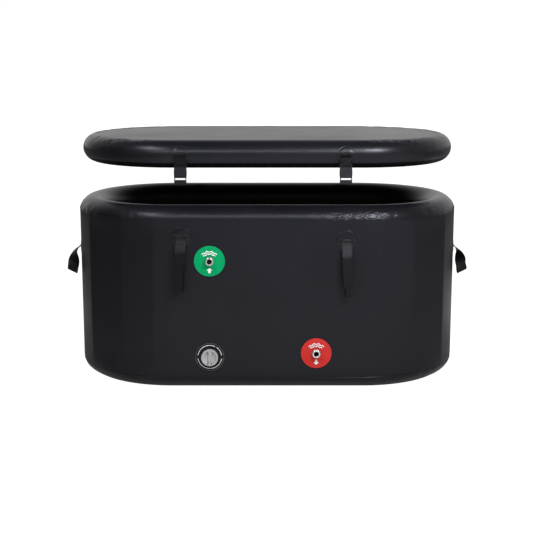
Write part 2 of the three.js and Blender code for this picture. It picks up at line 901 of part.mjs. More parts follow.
const tieDowns = [
  { tag: "front_left", side: "front", along: tieDownLeft },
  { tag: "front_right", side: "front", along: tieDownRight },
  { tag: "back_right", side: "back", along: -tieDownLeft },
  { tag: "back_left", side: "back", along: -tieDownRight },
];

// The half-round edge of the lid, with the facets that its band follows.
function lidEdge(radius) {
  const reach = radians(lidBandAngle);
  const round = arc(0, lidMiddle, radius, -reach, reach, lidEdgeSteps);
  return [[0, lidMiddle - radius], ...round, [0, lidMiddle + radius]];
}

function lidPanel() {
  const pocket = plug(valvePocketRadius, -valvePocketDepth, past, turnedSides);
  return cut(slab(lidOutline, lidEdge(lidPanelHalf)), [placed(pocket, lidFrame("back", lidValveX))]);
}

// The edge band carries a round patch and a hood for each strap, and a flat seat for the valve.
function lidEdgeBand() {
  const reach = radians(lidBandAngle);
  const shell = (outer, inner) =>
    ring(lidOutline, [
      ...arc(0, lidMiddle, outer, -reach, reach, lidEdgeSteps),
      ...arc(0, lidMiddle, inner, reach, -reach, lidEdgeSteps),
    ]);
  const bandBack = lidHalf - bandThickness;
  const patchShell = shell(lidHalf + patchThickness, bandBack);
  const inside = slab(lidOutline, lidEdge(bandBack));
  const patches = tieDowns.map(({ side, along }) => {
    const disc = plug(lidPatchRadius, -lidHalf, pivotOut, patchSides);
    return overlapOf(patchShell, placed(disc, lidFrame(side, along)));
  });
  const hoods = tieDowns.map(({ side, along }) => placed(hood(-2 * bandThickness), lidFrame(side, along)));
  const mouths = tieDowns.map(({ side, along }) => placed(strapMouth(), lidFrame(side, along)));
  const valveFrame = lidFrame("back", lidValveX);
  const seatRadius = valveFlangeRadius + lidValveSeatMargin;
  const seat = placed(plug(seatRadius, -lidHalf, valveSeat - seatGap, turnedSides), valveFrame);
  const neck = placed(plug(valveBarrelRadius + seatGap, -lidHalf - past, valveSeat, turnedSides), valveFrame);
  const whole = join([shell(lidHalf, bandBack), ...patches, ...hoods, seat]);
  return cut(whole, [inside, neck, ...mouths]);
}

function lidValve() {
  const frame = lidFrame("back", lidValveX);
  frame.add(...valvePieces("lid_valve"));
  return frame;
}

// Lid tie-downs, in a frame at the strap's pivot whose -Z runs down the hanging strap

// The strap runs down, round the buckle's bar and back up behind itself.
function lidStrap() {
  const half = webbingThickness / 2;
  const bar = maleThickness / 2;
  const wrap = seatGap + half;
  const layer = half + seatGap / 2;
  const top = -tieDownDrop;
  const corner = (side, from, to) =>
    arc(tieDownOffset + side * bar, top - buckleBar, wrap, from, to, strapFoldSteps);
  const path = [
    [0, 0],
    [tieDownOffset / 2, -strapKnee / 2],
    [tieDownOffset + layer, -strapKnee],
    [tieDownOffset + layer, top + strapPart],
    [tieDownOffset + bar + wrap, top],
    ...corner(1, 0, -Math.PI / 2),
    ...corner(-1, -Math.PI / 2, -Math.PI),
    [tieDownOffset - bar - wrap, top],
    [tieDownOffset - layer, top + strapPart],
    [tieDownOffset - layer, top + strapOverlap],
  ];
  return join([ribbon(path), axle(rollRadius, rollWidth, rollSides)]);
}

// Buckle halves, in a frame at the middle of the buckle's top

function rectangle(left, right, low, high) {
  const shape = new THREE.Shape();
  shape.moveTo(left, low);
  shape.lineTo(right, low);
  shape.lineTo(right, high);
  shape.lineTo(left, high);
  return shape;
}

// The male half: a web bar, a shoulder, a plug for the mouth and a guide tongue between the prongs.
function buckleMale() {
  const frame = rectangle(-maleHalf, maleHalf, -buckleShoulder, 0);
  frame.holes.push(rectangle(-webSlotHalf, webSlotHalf, -buckleBar - buckleSlot, -buckleBar));
  const base = rectangle(-plugHalf, plugHalf, -buckleShoulder - plugLength, -buckleShoulder + past);
  const tongueEnd = -pivotDrop - prongLength + prongWidth;
  const tongue = rectangle(-tongueWidth / 2, tongueWidth / 2, tongueEnd, -buckleShoulder);
  const tip = new THREE.CylinderGeometry(tongueWidth / 2, tongueWidth / 2, prongThickness, smallSides);
  const sockets = [-1, 1].map((side) => {
    const socket = prongWidth / 2 + turnGap;
    const round = plug(socket, -maleThickness, maleThickness, smallSides);
    const swing = block([-socket, -maleThickness, -plugLength], [socket + femaleSide, maleThickness, 0]);
    const room = join([round, side > 0 ? swing : swing.rotateZ(Math.PI)]);
    return room.translate(side * prongPivotX, 0, -pivotDrop);
  });
  const solid = join([
    plate(frame, maleThickness),
    plate(base, maleThickness),
    plate(tongue, prongThickness),
    tip.translate(0, 0, tongueEnd),
  ]);
  return cut(solid, sockets);
}

// A release prong: an arm from its pivot with a broad barb, whose outer face is the button.
function buckleProng(side) {
  const arm = prongWidth / 2;
  const outer = plugHalf - prongPivotX;
  const shape = new THREE.Shape();
  shape.moveTo(side * -arm, 0);
  shape.lineTo(side * -arm, prongNose - prongLength);
  shape.lineTo(side * (prongNoseInset - arm), -prongLength);
  shape.lineTo(side * (outer - prongNoseInset), -prongLength);
  shape.lineTo(side * outer, prongNose - prongLength);
  shape.lineTo(side * outer, -prongShoulder - prongShoulderBevel);
  shape.lineTo(side * (outer - prongShoulderBevel), -prongShoulder);
  shape.lineTo(side * arm, -prongShoulder);
  shape.lineTo(side * arm, 0);
  shape.absarc(0, 0, arm, side > 0 ? 0 : Math.PI, side > 0 ? Math.PI : 0, side < 0);
  return plate(shape, prongThickness).translate(side * prongPivotX, 0, -pivotDrop);
}

// The female half: a bulged hollow shell with side windows, a web slot and a bar.
function buckleFemale() {
  const top = -mouthDrop;
  const slotTop = -hollowDrop - femaleShellEnd;
  const slotBottom = slotTop - femaleSlot;
  const bottom = slotBottom - femaleBar;
  const neck = femaleHalf - femaleBulge;
  const belly = femaleHalf + femaleBulge;
  const shape = new THREE.Shape();
  shape.moveTo(-neck, top);
  shape.quadraticCurveTo(-belly, (top + slotTop) / 2, -neck, slotTop);
  shape.lineTo(-neck, bottom + femaleCorner);
  shape.quadraticCurveTo(-neck, bottom, -neck + femaleCorner, bottom);
  shape.lineTo(neck - femaleCorner, bottom);
  shape.quadraticCurveTo(neck, bottom, neck, bottom + femaleCorner);
  shape.lineTo(neck, slotTop);
  shape.quadraticCurveTo(belly, (top + slotTop) / 2, neck, top);
  const body = plate(shape, femaleThickness, femaleBevel);
  const side = plugHalf + turnGap;
  const deep = maleThickness / 2 + turnGap;
  const windowTop = windowLead - pivotDrop - prongShoulder;
  const hollow = block([-side, -deep, -hollowDrop], [side, deep, top + past]);
  const windows = block([-belly, -deep, -hollowDrop], [belly, deep, windowTop]);
  const slot = block([-webSlotHalf, -femaleThickness, slotBottom], [webSlotHalf, femaleThickness, slotTop]);
  const thin = femaleBarThickness / 2;
  const steps = [[-femaleThickness, -thin], [thin, femaleThickness]].map(([low, high]) =>
    block([-belly, low, bottom - past], [belly, high, slotTop + femaleBarStep]),
  );
  return cut(body, [hollow, windows, slot, ...steps]);
}

function lidTieDown({ tag, side, along }) {
  const frame = lidFrame(side, along);
  const hang = new THREE.Group();
  hang.position.y = pivotOut;
  hang.rotation.x = radians(tieDownLean);
  const buckle = new THREE.Group();
  buckle.position.set(0, tieDownOffset, -tieDownDrop);
  buckle.add(
    named(`buckle_male_${tag}`, buckleMale(), "moulding"),
    named(`buckle_female_${tag}`, buckleFemale(), "moulding"),
    named(`prong_a_${tag}`, buckleProng(1), "moulding"),
    named(`prong_b_${tag}`, buckleProng(-1), "moulding"),
  );
  hang.add(named(`lid_strap_${tag}`, lidStrap(), "webbing"), buckle);
  frame.add(hang);
  return frame;
}

const coldPlungeTub = new THREE.Group();
coldPlungeTub.add(
  named("wall_panel", wallPanel(), "chamber"),
  named("rim_band", rimBand(), "band"),
  named("base_band", baseBand(), "band"),
  named("floor_panel", floorPanel(), "chamber"),
  named("floor_seam_tape", floorSeamTape(), "band"),
  named("base_sheet", baseSheet(), "rubber"),
  waterFitting("inlet", inletX, inletZ),
  waterFitting("outlet", outletX, outletZ),
  tubValve(),
  ...tubWebbing(),
  named("lid_panel", lidPanel(), "chamber"),
  named("lid_edge_band", lidEdgeBand(), "band"),
  lidValve(),
  ...tieDowns.map(lidTieDown),
);

export default coldPlungeTub;
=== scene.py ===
import math

import bmesh
import bpy
import numpy as np
from mathutils import Matrix, Vector


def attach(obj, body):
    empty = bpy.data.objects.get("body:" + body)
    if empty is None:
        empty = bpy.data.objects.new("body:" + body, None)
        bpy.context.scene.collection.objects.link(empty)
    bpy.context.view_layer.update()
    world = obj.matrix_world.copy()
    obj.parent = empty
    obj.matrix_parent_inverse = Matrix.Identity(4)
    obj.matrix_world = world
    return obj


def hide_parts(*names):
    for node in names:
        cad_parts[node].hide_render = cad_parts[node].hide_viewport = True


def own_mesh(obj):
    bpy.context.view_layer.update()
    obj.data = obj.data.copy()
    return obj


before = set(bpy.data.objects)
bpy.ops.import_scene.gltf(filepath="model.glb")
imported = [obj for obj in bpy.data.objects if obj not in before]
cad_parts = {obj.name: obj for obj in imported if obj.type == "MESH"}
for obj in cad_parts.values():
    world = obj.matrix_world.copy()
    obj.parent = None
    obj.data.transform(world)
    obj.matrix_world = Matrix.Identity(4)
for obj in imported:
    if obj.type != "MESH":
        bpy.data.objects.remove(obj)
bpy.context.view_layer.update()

mm = 0.001
print("frame loaded:", len(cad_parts), "solids")


# shader groups that several finishes share

def newGroup(name, inputs, outputs):
    group = bpy.data.node_groups.new(name, "ShaderNodeTree")
    for direction, sockets in (("INPUT", inputs), ("OUTPUT", outputs)):
        for label, kind, value in sockets:
            socket = group.interface.new_socket(name=label, in_out=direction, socket_type="NodeSocket" + kind)
            if value is not None:
                socket.default_value = value
    return group, group.nodes.new("NodeGroupInput"), group.nodes.new("NodeGroupOutput")


def addNode(tree, kind, values=None, **settings):
    node = tree.nodes.new("ShaderNode" + kind)
    for key, value in settings.items():
        setattr(node, key, value)
    for key, value in (values or {}).items():
        node.inputs[key].default_value = value
    return node


def wire(tree, *pairs):
    for source, target in pairs:
        tree.links.new(source, target)


def mathNode(tree, operation, first, second=None):
    node = addNode(tree, "Math", operation=operation)
    for socket, value in zip(node.inputs, (first, second)):
        if isinstance(value, (int, float)):
            socket.default_value = value
        elif value is not None:
            tree.links.new(value, socket)
    return node.outputs[0]


def makeSurfaceGrain():
    tree, start, end = newGroup(
        "surfaceGrain",
        [("Vector", "Vector", None), ("Grain", "Float", 900.0), ("Cloud", "Float", 4.0), ("Pebble", "Float", 0.5)],
        [("Height", "Float", None), ("Cloud", "Float", None)],
    )
    fine = addNode(tree, "TexNoise", {"Detail": 3.0, "Roughness": 0.6})
    pebbles = addNode(tree, "TexVoronoi", feature="SMOOTH_F1")
    clouds = addNode(tree, "TexNoise", {"Detail": 4.0, "Roughness": 0.55, "Distortion": 0.4})
    mix = addNode(tree, "Mix", data_type="FLOAT")
    wire(
        tree,
        (start.outputs["Vector"], fine.inputs["Vector"]),
        (start.outputs["Vector"], pebbles.inputs["Vector"]),
        (start.outputs["Vector"], clouds.inputs["Vector"]),
        (start.outputs["Grain"], fine.inputs["Scale"]),
        (start.outputs["Grain"], pebbles.inputs["Scale"]),
        (start.outputs["Cloud"], clouds.inputs["Scale"]),
        (start.outputs["Pebble"], mix.inputs[0]),
        (fine.outputs[0], mix.inputs[2]),
        (pebbles.outputs["Distance"], mix.inputs[3]),
        (mix.outputs[0], end.inputs["Height"]),
        (clouds.outputs[0], end.inputs["Cloud"]),
    )
    return tree


def makeDustFilm():
    tree, start, end = newGroup(
        "dustFilm",
        [("Vector", "Vector", None), ("Amount", "Float", 0.1), ("Scale", "Float", 9.0)],
        [("Mask", "Float", None)],
    )
    shape = addNode(tree, "NewGeometry")
    axes = addNode(tree, "SeparateXYZ")
    specks = addNode(tree, "TexNoise", {"Detail": 6.0, "Roughness": 0.7})
    wire(
        tree,
        (shape.outputs["Normal"], axes.inputs[0]),
        (start.outputs["Vector"], specks.inputs["Vector"]),
        (start.outputs["Scale"], specks.inputs["Scale"]),
    )
    upward = mathNode(tree, "POWER", mathNode(tree, "MAXIMUM", axes.outputs["Z"], 0.0), 2.0)
    film = mathNode(tree, "MULTIPLY", upward, specks.outputs[0])
    wire(tree, (mathNode(tree, "MULTIPLY", film, start.outputs["Amount"]), end.inputs["Mask"]))
    return tree


# short creases in a zone about one place
def makeCrinkle():
    tree, start, end = newGroup(
        "crinkle",
        [("Vector", "Vector", None), ("Centre", "Vector", None), ("Reach", "Float", 0.2), ("Fine", "Float", 75.0)],
        [("Height", "Float", None)],
    )
    stretch = addNode(tree, "VectorMath", operation="MULTIPLY")
    stretch.inputs[1].default_value = (0.55, 0.8, 1.0)
    apart = addNode(tree, "VectorMath", operation="DISTANCE")
    noise = addNode(tree, "TexNoise", {"Detail": 1.0, "Roughness": 0.4, "Distortion": 0.8})
    wire(
        tree,
        (start.outputs["Vector"], stretch.inputs[0]),
        (stretch.outputs[0], noise.inputs["Vector"]),
        (start.outputs["Fine"], noise.inputs["Scale"]),
        (start.outputs["Vector"], apart.inputs[0]),
        (start.outputs["Centre"], apart.inputs[1]),
    )
    share = mathNode(tree, "DIVIDE", apart.outputs["Value"], start.outputs["Reach"])
    fall = addNode(tree, "MapRange", {"From Min": 0.35, "From Max": 1.0, "To Min": 1.0, "To Max": 0.0})
    ridge = mathNode(tree, "ABSOLUTE", mathNode(tree, "SUBTRACT", noise.outputs[0], 0.5))
    wire(tree, (share, fall.inputs["Value"]))
    wire(tree, (mathNode(tree, "MULTIPLY", ridge, fall.outputs[0]), end.inputs["Height"]))
    return tree


def makeWebWeave():
    tree, start, end = newGroup(
        "webWeave",
        [("Vector", "Vector", None), ("Pitch", "Float", 0.0024), ("Edge", "Float", 0.019)],
        [("Height", "Float", None), ("Shade", "Float", None), ("Selvedge", "Float", None)],
    )
    axes = addNode(tree, "SeparateXYZ")
    wire(tree, (start.outputs["Vector"], axes.inputs[0]))
    turns = [
        mathNode(tree, "MULTIPLY", mathNode(tree, "DIVIDE", axes.outputs[i], start.outputs["Pitch"]), math.pi)
        for i in (0, 1)
    ]
    across, along = (mathNode(tree, "SINE", turn) for turn in turns)
    over = mathNode(tree, "MULTIPLY", across, along)
    ribs = mathNode(tree, "ABSOLUTE", mathNode(tree, "SINE", mathNode(tree, "ADD", turns[0], turns[1])))
    height = mathNode(tree, "ADD", mathNode(tree, "MULTIPLY", over, 0.5), mathNode(tree, "MULTIPLY", ribs, 0.5))
    reach = mathNode(tree, "DIVIDE", mathNode(tree, "ABSOLUTE", axes.outputs[0]), start.outputs["Edge"])
    selvedge = mathNode(tree, "GREATER_THAN", reach, 0.9)
    wire(
        tree,
        (height, end.inputs["Height"]),
        (mathNode(tree, "ADD", mathNode(tree, "MULTIPLY", height, 0.5), 0.25), end.inputs["Shade"]),
        (selvedge, end.inputs["Selvedge"]),
    )
    return tree


def makeTurnedRings():
    tree, start, end = newGroup(
        "turnedRings",
        [("Vector", "Vector", None), ("Rings", "Float", 1600.0), ("Swirl", "Float", 30.0)],
        [("Height", "Float", None), ("Streak", "Float", None)],
    )
    stretch = addNode(tree, "VectorMath", operation="MULTIPLY")
    factors = addNode(tree, "CombineXYZ")
    lines = addNode(tree, "TexNoise", {"Scale": 1.0, "Detail": 2.0})
    wire(
        tree,
        (start.outputs["Swirl"], factors.inputs["X"]),
        (start.outputs["Rings"], factors.inputs["Y"]),
        (start.outputs["Swirl"], factors.inputs["Z"]),
        (start.outputs["Vector"], stretch.inputs[0]),
        (factors.outputs[0], stretch.inputs[1]),
        (stretch.outputs[0], lines.inputs["Vector"]),
        (lines.outputs[0], end.inputs["Height"]),
        (lines.outputs[0], end.inputs["Streak"]),
    )
    return tree


def makeEdgeRub():
    tree, start, end = newGroup(
        "edgeRub",
        [("Vector", "Vector", None), ("Amount", "Float", 0.5), ("Scale", "Float", 60.0)],
        [("Mask", "Float", None)],
    )
    shape = addNode(tree, "NewGeometry")
    patchy = addNode(tree, "TexNoise", {"Detail": 4.0})
    edge = addNode(tree, "MapRange", {"From Min": 0.52, "From Max": 0.62})
    wire(
        tree,
        (shape.outputs["Pointiness"], edge.inputs["Value"]),
        (start.outputs["Vector"], patchy.inputs["Vector"]),
        (start.outputs["Scale"], patchy.inputs["Scale"]),
    )
    worn = mathNode(tree, "MULTIPLY", edge.outputs[0], patchy.outputs[0])
    wire(tree, (mathNode(tree, "MULTIPLY", worn, start.outputs["Amount"]), end.inputs["Mask"]))
    return tree


groups = {
    "grain": makeSurfaceGrain(),
    "dust": makeDustFilm(),
    "crinkle": makeCrinkle(),
    "weave": makeWebWeave(),
    "rings": makeTurnedRings(),
    "rub": makeEdgeRub(),
}


def useGroup(tree, name, **values):
    node = tree.nodes.new("ShaderNodeGroup")
    node.node_tree = groups[name]
    for key, value in values.items():
        node.inputs[key.capitalize()].default_value = value
    return node


def mixColour(tree, factor, low, high):
    node = addNode(tree, "Mix", data_type="RGBA")
    for socket, value in ((node.inputs[6], low), (node.inputs[7], high)):
        if isinstance(value, tuple):
            socket.default_value = (*value, 1)
        else:
            tree.links.new(value, socket)
    tree.links.new(factor, node.inputs[0])
    return node.outputs[2]


def spread(tree, value, low, high):
    node = addNode(tree, "MapRange", {"From Min": 0.25, "From Max": 0.75, "To Min": low, "To Max": high})
    tree.links.new(value, node.inputs["Value"])
    return node.outputs[0]


def emptyMaterial(name):
    material = bpy.data.materials.new(name)
    material.use_nodes = True
    tree = material.node_tree
    tree.nodes.clear()
    surface = addNode(tree, "OutputMaterial")
    shader = addNode(tree, "BsdfPrincipled")
    wire(tree, (shader.outputs[0], surface.inputs[0]))
    return material, tree, shader


def bumpOnto(tree, shader, height, distance, strength=1.0):
    bump = addNode(tree, "Bump", {"Strength": strength, "Distance": distance})
    wire(tree, (height, bump.inputs["Height"]), (bump.outputs[0], shader.inputs["Normal"]))


# coated fabric, mouldings and print: two tones in clouds, a grained skin, dust on top and rubbed edges
def coatedFinish(name, look):
    material, tree, shader = emptyMaterial(name)
    place = addNode(tree, "TexCoord").outputs["Object"]
    grain = useGroup(tree, "grain", grain=look["grain"], cloud=look["cloud"], pebble=look["pebble"])
    dust = useGroup(tree, "dust", amount=look["dust"])
    rub = useGroup(tree, "rub", amount=look["rub"])
    wire(tree, *((place, node.inputs["Vector"]) for node in (grain, dust, rub)))
    tone = mixColour(tree, spread(tree, grain.outputs["Cloud"], 0.0, 1.0), look["dark"], look["light"])
    worn = mixColour(tree, rub.outputs["Mask"], tone, look["worn"])
    dusty = mixColour(tree, dust.outputs["Mask"], worn, look["dustTone"])
    wire(
        tree,
        (dusty, shader.inputs["Base Color"]),
        (spread(tree, grain.outputs["Cloud"], *look["rough"]), shader.inputs["Roughness"]),
    )
    shader.inputs["Specular IOR Level"].default_value = look["gloss"]
    shader.inputs["Specular Tint"].default_value = (*look["tint"], 1)
    height = mathNode(tree, "MULTIPLY", grain.outputs["Height"], look["depth"])
    for centre, reach in look["creases"]:
        crease = useGroup(tree, "crinkle", centre=centre, reach=reach)
        wire(tree, (place, crease.inputs["Vector"]))
        height = mathNode(tree, "ADD", height, mathNode(tree, "MULTIPLY", crease.outputs["Height"], look["creaseDepth"]))
    bumpOnto(tree, shader, height, 1.0)
    return material


def wovenFinish(name, look):
    material, tree, shader = emptyMaterial(name)
    thread = addNode(tree, "UVMap", uv_map="weave").outputs[0]
    place = addNode(tree, "TexCoord").outputs["Object"]
    weave = useGroup(tree, "weave", pitch=look["pitch"], edge=look["edge"])
    dust = useGroup(tree, "dust", amount=look["dust"])
    wire(tree, (thread, weave.inputs["Vector"]), (place, dust.inputs["Vector"]))
    tone = mixColour(tree, weave.outputs["Shade"], look["dark"], look["light"])
    bound = mixColour(tree, weave.outputs["Selvedge"], tone, look["selvedge"])
    dusty = mixColour(tree, dust.outputs["Mask"], bound, look["dustTone"])
    wire(
        tree,
        (dusty, shader.inputs["Base Color"]),
        (spread(tree, weave.outputs["Shade"], *look["rough"]), shader.inputs["Roughness"]),
    )
    shader.inputs["Specular IOR Level"].default_value = look["gloss"]
    shader.inputs["Specular Tint"].default_value = (*look["tint"], 1)
    bumpOnto(tree, shader, weave.outputs["Height"], look["depth"])
    return material


def turnedFinish(name, look):
    material, tree, shader = emptyMaterial(name)
    place = addNode(tree, "TexCoord").outputs["Object"]
    rings = useGroup(tree, "rings", rings=look["rings"], swirl=look["swirl"])
    rub = useGroup(tree, "rub", amount=look["rub"])
    wire(tree, (place, rings.inputs["Vector"]), (place, rub.inputs["Vector"]))
    tone = mixColour(tree, rings.outputs["Streak"], look["dark"], look["light"])
    worn = mixColour(tree, rub.outputs["Mask"], tone, look["worn"])
    wire(
        tree,
        (worn, shader.inputs["Base Color"]),
        (spread(tree, rings.outputs["Streak"], *look["rough"]), shader.inputs["Roughness"]),
    )
    shader.inputs["Metallic"].default_value = 1.0
    bumpOnto(tree, shader, rings.outputs["Height"], look["depth"])
    return material


pvc = {"grain": 900.0, "cloud": 3.5, "pebble": 0.45, "dust": 0.05, "rub": 0.0, "gloss": 0.28, "depth": 0.0001}
pvc.update(worn=(0.02, 0.02, 0.021), dustTone=(0.05, 0.05, 0.052), tint=(0.86, 0.87, 1.0), creases=[], creaseDepth=0.003)
coatedLooks = {
    "wallPvc": {**pvc, "dark": (0.0052, 0.0054, 0.0074), "light": (0.008, 0.0082, 0.0108), "rough": (0.36, 0.44)},
    "rimPvc": {
        **pvc, "dark": (0.005, 0.0052, 0.007), "light": (0.0078, 0.008, 0.01), "rough": (0.27, 0.35),
        "creases": [((0.36, -0.39, 0.67), 0.26), ((0.57, -0.30, 0.945), 0.14), ((-0.58, -0.29, 0.945), 0.12),
                    ((0.66, -0.18, 0.93), 0.13), ((0.66, -0.22, 0.68), 0.18)],
    },
    "lidPvc": {**pvc, "dark": (0.005, 0.0052, 0.0066), "light": (0.0078, 0.008, 0.01), "rough": (0.30, 0.38)},
    "patchPvc": {**pvc, "dark": (0.0048, 0.005, 0.0068), "light": (0.0072, 0.0074, 0.0098), "rough": (0.16, 0.24), "gloss": 0.34},
    "floorPvc": {**pvc, "dark": (0.007, 0.0074, 0.008), "light": (0.011, 0.0114, 0.012), "rough": (0.42, 0.55)},
    # the lid edge's lower band, darker and duller than the upper band: painted shade under the lid's edge
    "underPvc": {
        **pvc, "dark": (0.0026, 0.0026, 0.003), "light": (0.004, 0.004, 0.0045), "rough": (0.5, 0.62), "gloss": 0.07,
        "dust": 0.0,
    },
    "groundPvc": {**pvc, "dark": (0.006, 0.006, 0.0064), "light": (0.01, 0.01, 0.0105), "rough": (0.5, 0.65)},
    "blackMoulding": {
        **pvc, "dark": (0.0032, 0.0033, 0.0038), "light": (0.0055, 0.0056, 0.0062), "rough": (0.30, 0.42),
        "grain": 1500.0, "cloud": 20.0, "rub": 0.3, "gloss": 0.3, "depth": 0.00005,
    },
    "sealRubber": {
        **pvc, "dark": (0.006, 0.006, 0.006), "light": (0.011, 0.011, 0.011), "rough": (0.6, 0.75),
        "grain": 1200.0, "cloud": 15.0, "gloss": 0.35, "depth": 0.00006,
    },
    "valvePatchDark": {
        **pvc, "dark": (0.003, 0.003, 0.0034), "light": (0.005, 0.005, 0.0056), "rough": (0.45, 0.6),
        "grain": 1200.0, "cloud": 18.0, "depth": 0.00005,
    },
    # painted highlight: a grey ring on the valve patch's edge stands in for the light that its rounded rim catches
    "valvePatchPaintedHighlight": {
        **pvc, "dark": (0.09, 0.09, 0.092), "light": (0.13, 0.13, 0.132), "rough": (0.45, 0.6),
        "grain": 1200.0, "cloud": 18.0, "gloss": 0.4, "depth": 0.00005, "worn": (0.15, 0.15, 0.15),
    },
    "capGrey": {
        **pvc, "dark": (0.37, 0.37, 0.375), "light": (0.46, 0.46, 0.465), "rough": (0.36, 0.48), "grain": 1500.0,
        "cloud": 22.0, "rub": 0.6, "gloss": 0.45, "depth": 0.00005, "worn": (0.5, 0.5, 0.5), "dustTone": (0.4, 0.4, 0.4),
    },
    "inletGreen": {
        **pvc, "dark": (0.0, 0.30, 0.105), "light": (0.001, 0.34, 0.12), "rough": (0.5, 0.6), "grain": 1300.0,
        "cloud": 16.0, "rub": 0.25, "gloss": 0.1, "depth": 0.00005, "worn": (0.1, 0.55, 0.3), "dustTone": (0.2, 0.5, 0.3),
    },
    "outletRed": {
        **pvc, "dark": (0.56, 0.03, 0.026), "light": (0.63, 0.04, 0.034), "rough": (0.5, 0.6), "grain": 1300.0,
        "cloud": 16.0, "rub": 0.25, "gloss": 0.1, "depth": 0.00005, "worn": (0.85, 0.2, 0.18), "dustTone": (0.8, 0.3, 0.3),
    },
    "printWhite": {
        **pvc, "dark": (0.78, 0.78, 0.77), "light": (0.86, 0.86, 0.85), "rough": (0.4, 0.55), "grain": 1500.0,
        "cloud": 30.0, "gloss": 0.4, "depth": 0.00004, "worn": (0.7, 0.7, 0.7), "dustTone": (0.7, 0.7, 0.7),
    },
}
finishes = {name: coatedFinish(name, look) for name, look in coatedLooks.items()}
webbingLook = {
    "dark": (0.001, 0.001, 0.0013), "light": (0.0034, 0.0034, 0.0042), "selvedge": (0.002, 0.002, 0.0025),
    "dustTone": (0.03, 0.03, 0.03), "rough": (0.36, 0.52), "gloss": 0.28, "tint": (0.86, 0.87, 1.0), "pitch": 0.0024,
    "edge": 0.019, "dust": 0.05, "depth": 0.0003,
}
finishes["webbing"] = wovenFinish("webbing", webbingLook)
# lid straps: a darker, less glossy copy of the webbing, painted shade on the straps
finishes["lidWebbing"] = wovenFinish("lidWebbing", {**webbingLook, "light": (0.0024, 0.0024, 0.003), "gloss": 0.1, "dust": 0.02})
finishes["stainless"] = turnedFinish("stainless", {
    "dark": (0.60, 0.585, 0.56), "light": (0.74, 0.725, 0.70), "worn": (0.85, 0.84, 0.82), "rough": (0.2, 0.34),
    "rings": 1600.0, "swirl": 40.0, "rub": 0.4, "depth": 0.00003,
})
print("finishes made:", len(finishes))


# mesh helpers

def smooth(share):
    t = np.clip(share, 0.0, 1.0)
    return t * t * (3 - 2 * t)


def arcPoints(offset, height, radius, start, stop, steps):
    angles = np.radians(np.linspace(start, stop, steps + 1))
    return np.stack([offset + radius * np.cos(angles), height + radius * np.sin(angles)], 1)


def gridFaces(rows, columns, closeRows=True, closeColumns=True):
    faces = []
    for i in range(rows if closeRows else rows - 1):
        here, there = i * columns, ((i + 1) % rows) * columns
        for j in range(columns if closeColumns else columns - 1):
            k = (j + 1) % columns
            faces.append((here + j, here + k, there + k, there + j))
    return faces


# rounds the corners of a flat outline, given as points
def roundCorners(points, radius, steps=3, loop=True):
    points = [np.array(p, float) for p in points]
    count = len(points)
    result = []
    for i, corner in enumerate(points):
        if not loop and i in (0, count - 1):
            result.append(corner)
            continue
        before, after = points[i - 1] - corner, points[(i + 1) % count] - corner
        room = 0.45 * min(np.linalg.norm(before), np.linalg.norm(after))
        cut = min(radius, room)
        first = corner + before / np.linalg.norm(before) * cut
        last = corner + after / np.linalg.norm(after) * cut
        for t in np.linspace(0, 1, steps + 1):
            result.append((1 - t) ** 2 * first + 2 * t * (1 - t) * corner + t * t * last)
    return np.array(result)


